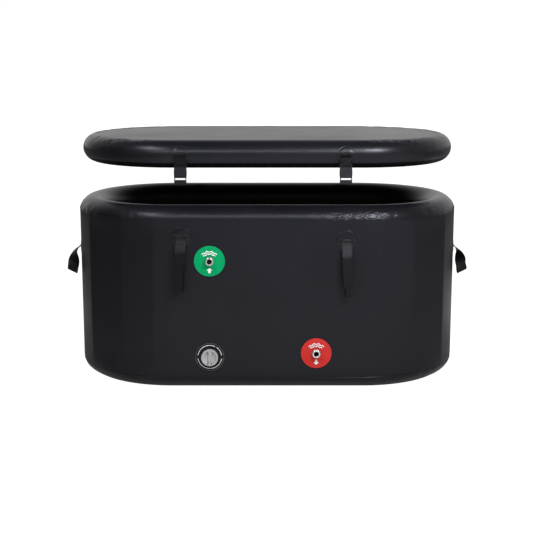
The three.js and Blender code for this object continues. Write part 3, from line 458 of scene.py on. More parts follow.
class Shape:
    def __init__(self):
        self.points, self.faces, self.threads = [], [], []

    # a shell, in millimetres
    def add(self, points, faces, threads=None):
        start = len(self.points)
        self.points.extend(map(tuple, points))
        self.faces.extend(tuple(start + i for i in face) for face in faces)
        self.threads.extend(map(tuple, threads if threads is not None else np.zeros((len(points), 2))))
        return self

    def grid(self, points, closeRows=True, closeColumns=True, caps=(), threads=None):
        rows, columns = points.shape[:2]
        faces = gridFaces(rows, columns, closeRows, closeColumns)
        if "start" in caps:
            faces.append(tuple(range(columns)))
        if "end" in caps:
            faces.append(tuple(range((rows - 1) * columns, rows * columns)))
        flat = None if threads is None else threads.reshape(-1, 2)
        return self.add(points.reshape(-1, 3), faces, flat)

    # a profile of [radius, height] turned about local Y
    def lathe(self, profile, sides, loop=True):
        angles = np.linspace(0, 2 * np.pi, sides, endpoint=False)
        profile = np.array(profile, float)
        points = np.zeros((sides, len(profile), 3))
        points[..., 0] = np.cos(angles)[:, None] * profile[None, :, 0]
        points[..., 1] = profile[None, :, 1]
        points[..., 2] = np.sin(angles)[:, None] * profile[None, :, 0]
        return self.grid(points, True, loop)

    # a flat outline carried along a third axis, its edges bevelled; order says which axes the outline and the run take
    def prism(self, outline, low, high, order="yzx", bevel=0.0, segments=2):
        body = bmesh.new()
        axes = ["xyz".index(letter) for letter in order]
        corners = []
        for a, b in outline:
            place = [0.0, 0.0, 0.0]
            place[axes[0]], place[axes[1]], place[axes[2]] = a, b, low
            corners.append(body.verts.new(place))
        face = body.faces.new(corners)
        run = [0.0, 0.0, 0.0]
        run[axes[2]] = high - low
        grown = bmesh.ops.extrude_face_region(body, geom=[face])
        bmesh.ops.translate(body, vec=run, verts=[v for v in grown["geom"] if isinstance(v, bmesh.types.BMVert)])
        if bevel:
            sharp = [e for e in body.edges if e.is_manifold and e.calc_face_angle(0) > 0.5]
            bmesh.ops.bevel(body, geom=sharp, offset=bevel, segments=segments, profile=0.5, affect="EDGES")
        body.verts.index_update()
        points = [tuple(v.co) for v in body.verts]
        faces = [tuple(v.index for v in f.verts) for f in body.faces]
        body.free()
        return self.add(points, faces)

    def moved(self, matrix):
        self.points = [tuple(matrix @ Vector(p)) for p in self.points]
        return self

    def piece(self, name, finish, sharp=38):
        mesh = bpy.data.meshes.new(name)
        mesh.from_pydata([(x * mm, y * mm, z * mm) for x, y, z in self.points], [], self.faces)
        body = bmesh.new()
        body.from_mesh(mesh)
        layer = body.loops.layers.uv.new("weave")
        body.verts.ensure_lookup_table()
        for face in body.faces:
            for corner in face.loops:
                u, v = self.threads[corner.vert.index]
                corner[layer].uv = (u * mm, v * mm)
        bmesh.ops.remove_doubles(body, verts=body.verts, dist=1e-7)
        bmesh.ops.recalc_face_normals(body, faces=body.faces)
        body.to_mesh(mesh)
        body.free()
        mesh.polygons.foreach_set("use_smooth", [True] * len(mesh.polygons))
        mesh.set_sharp_from_angle(angle=math.radians(sharp))
        mesh.materials.append(finishes[finish])
        obj = bpy.data.objects.new(name, mesh)
        bpy.context.scene.collection.objects.link(obj)
        return obj


def cutAway(obj, tools, sharp=38):
    for tool in tools:
        step = obj.modifiers.new("cut", "BOOLEAN")
        step.operation, step.solver, step.object = "DIFFERENCE", "EXACT", tool
    solid = obj.evaluated_get(bpy.context.evaluated_depsgraph_get())
    mesh = bpy.data.meshes.new_from_object(solid)
    obj.modifiers.clear()
    obj.data = mesh
    mesh.set_sharp_from_angle(angle=math.radians(sharp))
    for tool in tools:
        bpy.data.objects.remove(tool)
    return obj


def settle(obj, body, slotName, *nodes):
    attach(obj, body)
    if nodes:
        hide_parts(*nodes)
    return obj


# frames on the walls: local Y points out of the wall and local Z up
wallTurns = {"front": 180, "back": 0, "left": 90, "right": -90}


def wallFrame(side, along, height, halfLength, halfDepth):
    across = side in ("left", "right")
    sign = 1 if side in ("back", "right") else -1
    spot = (sign * halfLength, along, height) if across else (along, sign * halfDepth, height)
    return Matrix.Translation(spot) @ Matrix.Rotation(math.radians(wallTurns[side]), 4, "Z")


def tubFrame(side, along, height):
    return wallFrame(side, along, height, tub["length"] / 2 - tub["skin"], tub["depth"] / 2 - tub["skin"])


def lidFrame(side, along):
    return wallFrame(side, along, lid["middle"], lid["length"] / 2, lid["depth"] / 2)


# a walk round a plan with rounded corners, from the middle of the front wall to the right
def planWalk(plan):
    corner = (plan["depth"] - plan["endFlat"]) / 2
    farX, farY = plan["length"] / 2 - corner, plan["endFlat"] / 2
    rows = []
    straight = np.linspace(0, farX, plan["straightSteps"] + 1)
    rows += [(x, -farY, 0, -1, 0) for x in straight[:-1]]
    turn = np.linspace(0, 90, plan["cornerSteps"] + 1)
    lean = np.radians(turn)
    rows += [(farX, -farY, math.sin(a), -math.cos(a), d) for a, d in zip(lean, turn)]
    rows += [(farX, farY, math.sin(a), math.cos(a), d) for a, d in zip(lean[::-1], turn[::-1])]
    rows += [(x, farY, 0, 1, 0) for x in np.concatenate([straight[::-1], -straight[1:]])[1:-1]]
    rows += [(-farX, farY, -math.sin(a), math.cos(a), d) for a, d in zip(lean, turn)]
    rows += [(-farX, -farY, -math.sin(a), -math.cos(a), d) for a, d in zip(lean[::-1], turn[::-1])]
    rows += [(-x, -farY, 0, -1, 0) for x in straight[::-1][1:-1]]
    walk = dict(zip(("x", "y", "outX", "outY", "turn"), np.array(rows).T))
    walk["reach"] = corner - plan["half"]
    edgeX, edgeY = walk["x"] + walk["outX"] * corner, walk["y"] + walk["outY"] * corner
    steps = np.hypot(np.diff(edgeX, append=edgeX[0]), np.diff(edgeY, append=edgeY[0]))
    walk["run"] = np.concatenate([[0], np.cumsum(steps)[:-1]])
    walk["length"] = steps.sum()
    return walk


# carries offsets and heights, one row for each place on the walk, round the plan
def sweep(walk, offsets, heights):
    reach = walk["reach"] + offsets
    return np.stack([
        walk["x"][:, None] + walk["outX"][:, None] * reach,
        walk["y"][:, None] + walk["outY"][:, None] * reach,
        np.broadcast_to(heights, reach.shape),
    ], 2)


# small folds in welded fabric: soft ridges at seeded places, each with its own width, slant and strength
def puckers(walk, level, look):
    draw = np.random.default_rng(look["seed"])
    total = np.zeros((len(walk["run"]), level.shape[-1]))
    for _ in range(look["count"]):
        at = draw.uniform(*look.get("stretch", (0, walk["length"])))
        width = draw.uniform(*look["width"])
        slant = draw.uniform(-look["slant"], look["slant"])
        rise = draw.normal(look["level"], look["levelSpread"])
        tall = draw.uniform(*look["tall"])
        deep = draw.uniform(-1.0, 0.8) * look["deep"]
        nearest = int(np.argmin(np.abs(walk["run"] - at)))
        share = smooth((walk["turn"][nearest] - look["from"]) / 12) * smooth((look["until"] - walk["turn"][nearest]) / 12)
        deep *= look["straight"] + (1 - look["straight"]) * share
        away = (walk["run"][:, None] - at + slant * (level - rise) + walk["length"] / 2) % walk["length"] - walk["length"] / 2
        total += deep * np.exp(-((away / width) ** 2) - ((level - rise) / tall) ** 2)
    return total


# tub chamber

tub = {
    "length": 1500, "depth": 800, "height": 700, "endFlat": 32, "half": 60, "skin": 1.5, "band": 1.2,
    "straightSteps": 70, "cornerSteps": 110, "sole": 3.8, "floorTop": 82.3, "sheet": 2, "gap": 0.3,
}
tub["rimLevel"] = tub["height"] - tub["half"]
tubWalk = planWalk(tub)

# flats that the taut cloth takes between upright creases at each corner, in degrees from the long wall
wallFlats = [
    {"from": 0, "to": 9.5, "share": 0.8},
    {"from": 9.5, "to": 29.5, "share": 0.85},
    {"from": 29.5, "to": 57, "share": 0.88},
    {"from": 57, "to": 83, "share": 0.6},
]


def flatDepth(walk, radius):
    depth = np.zeros(len(walk["turn"]))
    for flat in wallFlats:
        middle, half = (flat["from"] + flat["to"]) / 2, (flat["to"] - flat["from"]) / 2
        inside = (walk["turn"] > flat["from"]) & (walk["turn"] < flat["to"])
        chord = radius * (1 - math.cos(math.radians(half)) / np.cos(np.radians(walk["turn"] - middle)))
        depth = np.where(inside, flat["share"] * chord, depth)
    return depth


rimFolds = {
    "seed": 11, "count": 210, "width": (8, 17), "slant": 0.5, "level": 22, "levelSpread": 13, "tall": (9, 22),
    "deep": 1.7, "from": 2, "until": 86, "straight": 0.3,
}
rimCrinkles = {
    "seed": 17, "count": 60, "width": (7, 13), "slant": 0.9, "level": 24, "levelSpread": 11, "tall": (5, 11),
    "deep": 0.7, "from": 0, "until": 90, "straight": 1.0, "stretch": (190, 590),
}
baseFolds = {
    "seed": 23, "count": 150, "width": (9, 20), "slant": 0.5, "level": -28, "levelSpread": 10, "tall": (9, 20),
    "deep": 1.3, "from": 4, "until": 80, "straight": 0.2,
}
tubRadius = tub["half"] + tubWalk["reach"]
tubFlats = flatDepth(tubWalk, tubRadius)[:, None]


# moves a section of the wall, of [offset, height, lean], by the flats and folds that its bands share
def wallForm(section):
    offset, height, lean = section.T
    cosine, sine = np.cos(np.radians(lean)), np.sin(np.radians(lean))
    outer = np.clip(cosine, 0, 1)
    fade = smooth((height - 25) / 110) * smooth((668 - height) / 95)
    arcRun = np.radians(np.clip(lean, -90, 90)) * tub["half"]
    above = np.where(height >= tub["rimLevel"], arcRun, height - tub["rimLevel"])
    below = np.where(height <= tub["half"], arcRun, height - tub["half"])
    folds = sum(puckers(tubWalk, above, look) for look in (rimFolds, rimCrinkles)) + puckers(tubWalk, below, baseFolds)
    folds = folds * smooth((cosine + 0.15) / 0.4)
    push = -tubFlats * (outer * fade)
    return sweep(tubWalk, offset + push + folds * cosine, height + folds * sine)


def roundSection(radius, start, stop, steps, level):
    arc = arcPoints(0, level, radius, start, stop, steps)
    return np.column_stack([arc, np.linspace(start, stop, steps + 1)])


def upright(offset, start, stop, steps):
    heights = np.linspace(start, stop, steps + 1)[1:-1]
    lean = 0 if offset > 0 else 180
    return np.column_stack([np.full(steps - 1, offset), heights, np.full(steps - 1, lean)])


def buildWall():
    half = tub["half"] - tub["skin"]
    sole = math.degrees(math.asin((tub["half"] - tub["sole"]) / half))
    section = np.concatenate([
        roundSection(half, -sole, 0, 14, tub["half"]),
        upright(half, tub["half"], tub["rimLevel"], 30),
        roundSection(half, 0, 180, 36, tub["rimLevel"]),
        upright(-half, tub["rimLevel"], tub["half"], 12),
        roundSection(half, 180, 180 + sole, 8, tub["half"]),
    ])
    wall = Shape().grid(wallForm(section)).piece("tubWall", "wallPvc")
    tools = []
    for name in ("inlet", "outlet"):
        fitting = fittings[name]
        bore = Shape().lathe([(0, -125), (16.3, -125), (16.3, 8), (0, 8)], 64, False)
        tools.append(bore.moved(tubFrame("front", fitting["along"], fitting["height"])).piece(name + "Bore", "wallPvc"))
    room = [(0, -48), (31, -48), (31, -2.5), (20.3, -2.5), (20.3, 8), (0, 8)]
    pocket = Shape().lathe(room, 64, False).moved(tubFrame("front", airValve["along"], airValve["height"]))
    tools.append(pocket.piece("valveRoom", "wallPvc"))
    cutAway(wall, tools)
    return settle(wall, "tub", "drop_stitch", "wall_panel")


# a band of cloth with rounded edges, as a closed section between two radii
def bandSection(radius, thickness, start, stop, steps, level):
    outer = roundSection(radius, start, stop, steps, level)
    inner = roundSection(radius - thickness, stop, start, steps, level)
    edge = math.degrees(0.5 * thickness / radius)
    middle = radius - 0.45 * thickness
    last = roundSection(middle, stop + edge, stop + edge, 0, level)
    first = roundSection(middle, start - edge, start - edge, 0, level)
    return np.concatenate([outer, last, inner, first])


def buildBands():
    rim = bandSection(tub["half"], tub["band"], 10.2, 169.8, 40, tub["rimLevel"])
    settle(Shape().grid(wallForm(rim)).piece("rimBand", "rimPvc"), "tub", "pvc_band", "rim_band")
    half, band = tub["half"], tub["band"]
    level = tub["sheet"] + tub["gap"]
    flat = math.degrees(math.asin((half - level) / half))
    flatIn = math.degrees(math.asin((half - level - band) / (half - band)))
    base = np.concatenate([
        roundSection(half, -flat, -15, 16, half),
        roundSection(half - 0.5 * band, -14.5, -14.5, 0, half),
        roundSection(half - band, -15, -flatIn, 16, half),
        roundSection(half - band, 180 + flatIn, 195, 12, half),
        roundSection(half - 0.5 * band, 194.5, 194.5, 0, half),
        roundSection(half, 195, 180 + flat, 12, half),
    ])
    settle(Shape().grid(wallForm(base)).piece("baseBand", "rimPvc"), "tub", "pvc_band", "base_band")


# a pad with the plan's outline: an edge profile of [offset, height], then rings to the middle with a little crown
def padRings(walk, edge, crown, rings):
    top = edge[-1]
    shares = np.linspace(0, 1, rings + 1)[1:]
    inset = np.column_stack([top[0] - shares * (walk["reach"] + top[0] - 4), top[1] + crown * smooth(shares * 1.6)])
    return np.concatenate([edge, inset])


def buildFloor():
    edge = tub["skin"] - tub["half"] - tub["gap"]
    low, top = tub["sheet"] + tub["gap"], tub["floorTop"]
    profile = np.concatenate([
        arcPoints(edge - 12, low + 12, 12, -90, 0, 6),
        arcPoints(edge - 12, top - 12, 12, 0, 90, 6),
        [[edge - 40, top]],
    ])
    rows = padRings(tubWalk, profile, 1.4, 16)
    points = sweep(tubWalk, np.tile(rows[:, 0], (len(tubWalk["run"]), 1)), rows[:, 1])
    floor = Shape().grid(points.transpose(1, 0, 2), False, True, ("start", "end")).piece("floorPad", "floorPvc")
    settle(floor, "tub", "drop_stitch", "floor_panel")
    wall, level, leg, thick = edge, top + tub["gap"], 25, 1.5
    outline = [
        (wall, level), (wall, level + leg), (wall - thick, level + leg),
        (wall - thick, level + thick), (wall - leg, level + thick), (wall - leg, level),
    ]
    tape = roundCorners(outline, 0.7)
    rows = np.tile(tape[:, 0], (len(tubWalk["run"]), 1))
    settle(Shape().grid(sweep(tubWalk, rows, tape[:, 1])).piece("seamTape", "rimPvc"), "tub", "pvc_band", "floor_seam_tape")
    reach = math.sqrt(tub["half"] ** 2 - (tub["half"] - low) ** 2)
    sheet = np.array([[reach - 0.6, 0], [reach, 0.5], [reach, tub["sheet"] - 0.5], [reach - 0.6, tub["sheet"]]])
    rows = np.tile(sheet[:, 0], (len(tubWalk["run"]), 1))
    ground = Shape().grid(sweep(tubWalk, rows, sheet[:, 1]).transpose(1, 0, 2), False, True, ("start", "end"))
    settle(ground.piece("groundSheet", "groundPvc"), "tub", "base_sheet", "base_sheet")


# water fittings

fittings = {
    "inlet": {"along": -216, "height": 496, "finish": "inletGreen", "slot": "inlet_green", "arrow": 1},
    "outlet": {"along": 186, "height": 141, "finish": "outletRed", "slot": "outlet_red", "arrow": -1},
}
fittingDisc = {"radius": 58, "face": 4.8, "hole": 16.3, "flange": 30.3, "step": 3.1, "sides": 96}
spigot = {"radius": 16, "bore": 9, "end": 20.3, "tail": -137, "flange": 30, "threadPitch": 2.3, "threadDepth": 0.8}


def threadProfile(start, stop, radius):
    count = int((stop - start) / spigot["threadPitch"])
    rows = []
    for i in range(count):
        y = start + i * spigot["threadPitch"]
        root = radius - spigot["threadDepth"]
        rows += [(root, y), (radius, y + 0.45 * spigot["threadPitch"]), (radius, y + 0.6 * spigot["threadPitch"])]
    return rows + [(radius - spigot["threadDepth"], start + count * spigot["threadPitch"])]


# strokes on the face of a disc, of one width, from a line of [x, z] points
def strokeOutline(line, width):
    line = np.array(line, float)
    ahead = np.gradient(line, axis=0)
    side = np.stack([-ahead[:, 1], ahead[:, 0]], 1)
    side *= width / 2 / np.linalg.norm(side, axis=1)[:, None]
    return np.concatenate([line + side, (line - side)[::-1]])


marks = {"stroke": 3.6, "waveRadii": (36.5, 28.0), "waveSpan": (42, 138), "swing": 2.3, "waves": 3.5, "raised": 0.3}


def fittingMarks(name, arrow):
    shape = Shape()
    low, high = fittingDisc["face"] - 0.05, fittingDisc["face"] + marks["raised"]
    for radius in marks["waveRadii"]:
        angles = np.linspace(*marks["waveSpan"], 57)
        swell = np.sin(np.linspace(0, 2 * np.pi * marks["waves"], 57))
        reach = radius + marks["swing"] * swell
        line = np.stack([reach * np.cos(np.radians(angles)), reach * np.sin(np.radians(angles))], 1)
        shape.prism(strokeOutline(line, marks["stroke"]), low, high, "xzy")
    top, bottom = (-25, -45) if arrow > 0 else (-45, -25)
    neck = top + (bottom - top) * 0.5
    arrowHead = [(0, top), (11, neck), (4.2, neck), (4.2, bottom), (-4.2, bottom), (-4.2, neck), (-11, neck)]
    shape.prism(arrowHead, low, high, "xzy")
    return shape


def buildFitting(name, fitting):
    spot = tubFrame("front", fitting["along"], fitting["height"])
    face, hole, step = fittingDisc["face"], fittingDisc["hole"], fittingDisc["step"]
    radius, flange = fittingDisc["radius"], fittingDisc["flange"]
    outline = [
        (hole, step), (flange, step), (flange, 0.3), (radius, 0.3), (radius, face - 0.2), (radius - 1.4, face),
        (radius - 4.0, face), (radius - 4.5, face - 0.45), (radius - 5.1, face - 0.45), (radius - 5.6, face),
        (22.5, face), (21.5, face - 0.6), (hole, face - 0.6),
    ]
    disc = Shape().lathe(roundCorners(outline, 0.5, 2), fittingDisc["sides"]).moved(spot)
    settle(disc.piece(name + "Disc", fitting["finish"]), "tub", fitting["slot"], name + "_disc")
    settle(fittingMarks(name, fitting["arrow"]).moved(spot).piece(name + "Marks", "printWhite"), "tub", fitting["slot"])
    outer, bore = spigot["radius"], spigot["bore"]
    profile = [(bore, spigot["tail"] + 0.8), (bore + 0.8, spigot["tail"]), (outer - 1.5, spigot["tail"])]
    profile += threadProfile(spigot["tail"] + 1.5, -100, outer)
    profile += [(outer, -99), (outer, 0.3), (spigot["flange"], 0.3), (spigot["flange"], 2.8), (outer, 2.8), (outer, 6.0)]
    profile += threadProfile(6.4, spigot["end"] - 1.8, outer)
    profile += [(outer - 1.0, spigot["end"] - 0.8), (outer - 2.0, spigot["end"]), (bore + 1.2, spigot["end"])]
    profile += [(bore, spigot["end"] - 1.2)]
    pipe = Shape().lathe(profile, 72).moved(spot)
    settle(pipe.piece(name + "Spigot", "stainless", 30), "tub", "stainless", name + "_spigot")
    ring = roundCorners([(16.3, -120.3), (30, -120.3), (30, -117.3), (16.3, -117.3)], 0.8, 4)
    gasket = Shape().lathe(ring, 72).moved(spot)
    settle(gasket.piece(name + "Gasket", "sealRubber"), "tub", "seal_rubber", name + "_gasket")


# air valves

airValve = {"along": -218, "height": 126, "lidAlong": 0, "patch": 55, "ringRadius": 45.2, "ringWidth": 2.3, "edgeWidth": 1.5}
airValve["ringGaps"] = [(-8, 8), (117, 125), (172, 188)]
valveCap = {"radius": 32, "skirt": 7.7, "under": 5.4, "ceiling": 12.1, "top": 18.6, "recess": 4.5, "rim": 7, "grip": 13}


def capPiece(name, spot, body, node):
    radius, top = valveCap["radius"], valveCap["top"]
    inner = radius - valveCap["skirt"]
    outline = [
        (0, valveCap["ceiling"]), (inner, valveCap["ceiling"]), (inner, valveCap["under"]),
        (radius, valveCap["under"]), (radius, top - 0.3), (radius - 1.4, top), (0, top),
    ]
    cap = Shape().lathe(roundCorners(outline, 0.7, 3, False), 96, False).piece(name, "capGrey")
    reach = radius - valveCap["rim"]
    half = math.degrees(math.acos(valveCap["grip"] / 2 / reach))
    tools = []
    for turn in (0, 180):
        moon = roundCorners(arcPoints(0, 0, reach, turn - half, turn + half, 28), 0.01, 1)
        shape = Shape().prism(moon, top - valveCap["recess"], top + 2, "xzy")
        tools.append(shape.piece(name + "Recess", "capGrey"))
    cutAway(cap, tools)
    body3d = bmesh.new()
    body3d.from_mesh(cap.data)
    bmesh.ops.remove_doubles(body3d, verts=body3d.verts, dist=1e-6)
    lip = [
        e for e in body3d.edges
        if e.is_manifold and e.calc_face_angle(0) > 1.2 and min(v.co.y for v in e.verts) > (valveCap["ceiling"] + 1) * mm
    ]
    bmesh.ops.bevel(body3d, geom=lip, offset=0.6 * mm, segments=2, profile=0.5, affect="EDGES")
    body3d.to_mesh(cap.data)
    body3d.free()
    cap.data.polygons.foreach_set("use_smooth", [True] * len(cap.data.polygons))
    cap.data.set_sharp_from_angle(angle=math.radians(38))
    place = spot.copy()
    place.translation = place.translation * mm
    cap.data.transform(place)
    return settle(cap, body, "valve_grey", node)


def ringPart(radius, width, start, stop, low, high):
    angles = np.radians(np.linspace(start, stop, 73))
    section = roundCorners([(radius - width / 2, low), (radius + width / 2, low), (radius + width / 2, high), (radius - width / 2, high)], 0.1, 1)
    points = np.zeros((len(angles), len(section), 3))
    points[..., 0] = np.cos(angles)[:, None] * section[None, :, 0]
    points[..., 1] = section[None, :, 1]
    points[..., 2] = np.sin(angles)[:, None] * section[None, :, 0]
    return points


def springPiece(name, spot, body, node):
    turns, steps, sides = 4, 160, 10
    t = np.linspace(0, 1, steps + 1)
    angle = 2 * np.pi * turns * t
    low, high, radius, wire = -9.0, 3.0, 5.0, 0.7
    height = low + (high - low) * t
    centre = np.stack([radius * np.cos(angle), height, radius * np.sin(angle)], 1)
    ahead = np.gradient(centre, axis=0)
    ahead /= np.linalg.norm(ahead, axis=1)[:, None]
    outward = np.stack([np.cos(angle), np.zeros_like(angle), np.sin(angle)], 1)
    side = np.cross(ahead, outward)
    round_ = np.linspace(0, 2 * np.pi, sides, endpoint=False)
    points = centre[:, None] + wire * (np.cos(round_)[None, :, None] * outward[:, None] + np.sin(round_)[None, :, None] * side[:, None])
    coil = Shape().grid(points, False, True, ("start", "end")).moved(spot).piece(name, "stainless")
    settle(coil, body, "stainless", node)
    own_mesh(coil)
    return coil


def buildValves():
    front = tubFrame("front", airValve["along"], airValve["height"])
    back = lidFrame("back", airValve["lidAlong"])
    patch = roundCorners([(20.3, 0.3), (airValve["patch"], 0.3), (airValve["patch"], 1.8), (20.3, 1.8)], 0.6, 3)
    settle(Shape().lathe(patch, 96).moved(front).piece("valvePatch", "valvePatchDark"), "tub", "valve_patch", "valve_patch")
    # a thin grey ring on the patch's edge: a painted highlight of the rim
    rim = airValve["patch"] - airValve["edgeWidth"]
    edge = Shape().grid(ringPart(rim, airValve["edgeWidth"], 0, 360, 1.7, 1.95)[:-1])
    settle(edge.moved(front).piece("valveEdgeHighlightRing", "valvePatchPaintedHighlight"), "tub", "valve_patch")
    gaps = airValve["ringGaps"]
    spans = []
    for i, gap in enumerate(gaps):
        after = gaps[(i + 1) % len(gaps)][0] + (360 if i + 1 == len(gaps) else 0)
        spans.append((gap[1], after))
    ring = Shape()
    for start, stop in spans:
        ring.grid(ringPart(airValve["ringRadius"], airValve["ringWidth"], start, stop, 1.7, 2.1), False, True, ("start", "end"))
    settle(ring.moved(front).piece("valveRing", "printWhite"), "tub", "valve_patch")
    for tag, spot, body in (("valve", front, "tub"), ("lid_valve", back, "lid")):
        camel = "lidValve" if tag.startswith("lid") else "valve"
        capPiece(camel + "Cap", spot, tag + "_cap", tag + "_cap")
        springPiece(camel + "Spring", spot, body, tag + "_spring")
        seal = roundCorners([(15, 10.4), (23.7, 10.4), (23.7, 11.8), (15, 11.8)], 0.5, 3)
        sealRing = Shape().lathe(seal, 72).moved(spot)
        settle(sealRing.piece(camel + "CapSeal", "sealRubber"), tag + "_cap_seal", "seal_rubber", tag + "_cap_seal")


# webbing: strap patches, hanging loops and end handles

web = {"width": 38, "thick": 2, "standShare": 0.3, "gripFrom": 0.74, "gripTo": 0.88, "pivotOut": 5.5, "roll": 3}
patch = {"radius": 41, "lidRadius": 32, "thick": 2.2, "hoodHalf": 25, "hoodRise": 12, "mouthHalf": 19.3, "lip": 2.2, "drop": 6, "arch": 4.5}
wallLoop = {"fold": 8, "stand": 20, "ease": 1, "twistShare": 0.62, "drift": 0, "lean": 0, "slant": 0, "pinch": 0}
leftLoop = {**wallLoop, "height": 587, "length": 212, "twist": -12, "drift": 9, "slant": -0.33}
rightLoop = {**wallLoop, "height": 572, "length": 208, "twist": 8, "drift": -5, "pinch": 0.5}
endHandle = {**wallLoop, "height": 489, "length": 110, "twist": 90, "lean": 18, "slant": 0.5}
endHandle.update(fold=13, stand=22, ease=0, twistShare=0.9)
loops = [
    {"name": "loop_front_left", "side": "front", "along": -323, **leftLoop},
    {"name": "loop_front_right", "side": "front", "along": 297, **rightLoop},
    {"name": "loop_back_right", "side": "back", "along": 323, **leftLoop},
    {"name": "loop_back_left", "side": "back", "along": -297, **rightLoop},
    {"name": "handle_left", "side": "left", "along": 0, **endHandle},
    {"name": "handle_right", "side": "right", "along": 0, **endHandle},
]


def camelName(node):
    first, *rest = node.split("_")
    return first + "".join(word.capitalize() for word in rest)


# a strip of webbing along a path of [out, height] points, with round edges; bend moves each point of it
def webStrip(shape, path, bend=None, across=10):
    path = np.array(path, float)
    ahead = np.gradient(path, axis=0)
    ahead /= np.linalg.norm(ahead, axis=1)[:, None]
    normal = np.stack([-ahead[:, 1], ahead[:, 0]], 1)
    half, thick = web["width"] / 2, web["thick"] / 2
    flat = np.linspace(-half + 0.8, half - 0.8, across + 1)
    section = [(x, -thick) for x in flat] + [(half - 0.2, -0.5 * thick), (half - 0.2, 0.5 * thick)]
    section += [(x, thick) for x in flat[::-1]] + [(0.2 - half, 0.5 * thick), (0.2 - half, -0.5 * thick)]
    section = np.array(section)
    points = np.zeros((len(path), len(section), 3))
    points[..., 0] = section[None, :, 0]
    points[..., 1] = path[:, None, 0] + section[None, :, 1] * normal[:, None, 0]
    points[..., 2] = path[:, None, 1] + section[None, :, 1] * normal[:, None, 1]
    if bend is not None:
        points = bend(points)
    run = np.concatenate([[0], np.cumsum(np.linalg.norm(np.diff(path, axis=0), axis=1))])
    threads = np.stack(np.broadcast_arrays(section[None, :, 0], run[:, None]), 2)
    return shape.grid(points, False, True, ("start", "end"), threads)


def rollRoot(shape, out):
    half = web["width"] / 2 - 0.5
    angles = np.linspace(0, 2 * np.pi, 24, endpoint=False)
    stops = [(-half, web["roll"] - 0.7), (-half + 0.7, web["roll"]), (half - 0.7, web["roll"]), (half, web["roll"] - 0.7)]
    points = np.array([[(x, out + r * math.cos(a), r * math.sin(a)) for a in angles] for x, r in stops])
    threads = np.array([[(x, web["roll"] * a) for a in angles] for x, _ in stops])
    return shape.grid(points, False, True, ("start", "end"), threads)


def loopShape(loop):
    length, fold, thick = loop["length"], loop["fold"], web["thick"]
    root, fall = thick / 2 + tub["gap"], length - fold - thick / 2
    shares = np.linspace(0, 1, 49)
    spreadOut = root + (fold - root) * smooth(shares)
    front = np.stack([spreadOut, -fall * shares], 1)
    back = np.stack([-spreadOut, -fall * shares], 1)[::-1]
    path = np.concatenate([front, arcPoints(0, -fall, fold, 0, -180, 18)[1:-1], back])

    def bend(points):
        x, y, z = points[..., 0], points[..., 1], points[..., 2]
        share = -z / length
        hang = np.maximum(0, share)
        angle = math.radians(loop["twist"]) * smooth(share / loop["twistShare"])
        gripped = smooth((share - web["gripFrom"]) / (web["gripTo"] - web["gripFrom"]))
        wide = x * (1 - loop["pinch"] * gripped)
        side = wide * np.cos(angle) - y * np.sin(angle)
        out = wide * np.sin(angle) + y * np.cos(angle)
        bulge = np.minimum(1, hang / web["standShare"])
        stand = loop["stand"] * (loop["ease"] * smooth(bulge) + (1 - loop["ease"]) * np.sin(np.pi / 2 * bulge))
        rise = loop["slant"] * wide * smooth(share)
        return np.stack([
            side + loop["drift"] * smooth(share), out + web["pivotOut"] + stand + loop["lean"] * hang, z + rise,
        ], -1)

    return rollRoot(webStrip(Shape(), path, bend), web["pivotOut"])


# the hood over a strap's root: a rounded roof with a cheek at each end
def hoodShape(shape, back):
    out, rise, half, mouth = web["pivotOut"], patch["hoodRise"], patch["hoodHalf"], patch["mouthHalf"]
    trough = web["roll"] + tub["gap"]
    cheek = [(back, -patch["drop"]), (out, patch["lip"] - patch["drop"]), (out, trough + patch["lip"]), (back, rise)]
    for low, high in ((-half, -mouth), (mouth, half)):
        shape.prism(roundCorners(cheek, 0.9, 3), low, high, "yzx", 0.6)
    bow = arcPoints(out, 0, trough, 180, 90, 8)
    stations = np.linspace(-mouth - 0.5, mouth + 0.5, 25)
    rows = []
    for x in stations:
        arch = patch["arch"] * max(0, 1 - (x / mouth) ** 2)
        crest = trough + patch["lip"] + arch
        tall = crest - trough - 0.6
        swell = [(out - 0.5 * tall * t - 0.8 * t * t, trough + 0.6 + tall * t) for t in np.linspace(0, 1, 7)]
        line = np.concatenate([[(back, 0.0)], bow, swell, [(back, max(rise, crest + 1.0))]])
        rows.append(np.column_stack([np.full(len(line), x), line]))
    return shape.grid(np.array(rows), False, True, ("start", "end"))


def patchShape(radius, back):
    shape = Shape()
    thick = patch["thick"]
    outline = [
        (0, back), (radius, back), (radius, thick - 0.4), (radius - 0.8, thick), (radius - 3.2, thick),
        (radius - 3.6, thick - 0.35), (radius - 4.4, thick - 0.35), (radius - 4.8, thick), (0, thick),
    ]
    shape.lathe(roundCorners(outline, 0.3, 2, False), 80, False)
    return hoodShape(shape, back)


def buildTubWebbing():
    for loop in loops:
        spot = tubFrame(loop["side"], loop["along"], loop["height"])
        name = camelName(loop["name"])
        settle(patchShape(patch["radius"], 0.3).moved(spot).piece(name + "Patch", "patchPvc"), "tub", "pvc_band", loop["name"] + "_patch")
        settle(loopShape(loop).moved(spot).piece(name, "webbing"), loop["name"], "webbing", loop["name"])


# lid

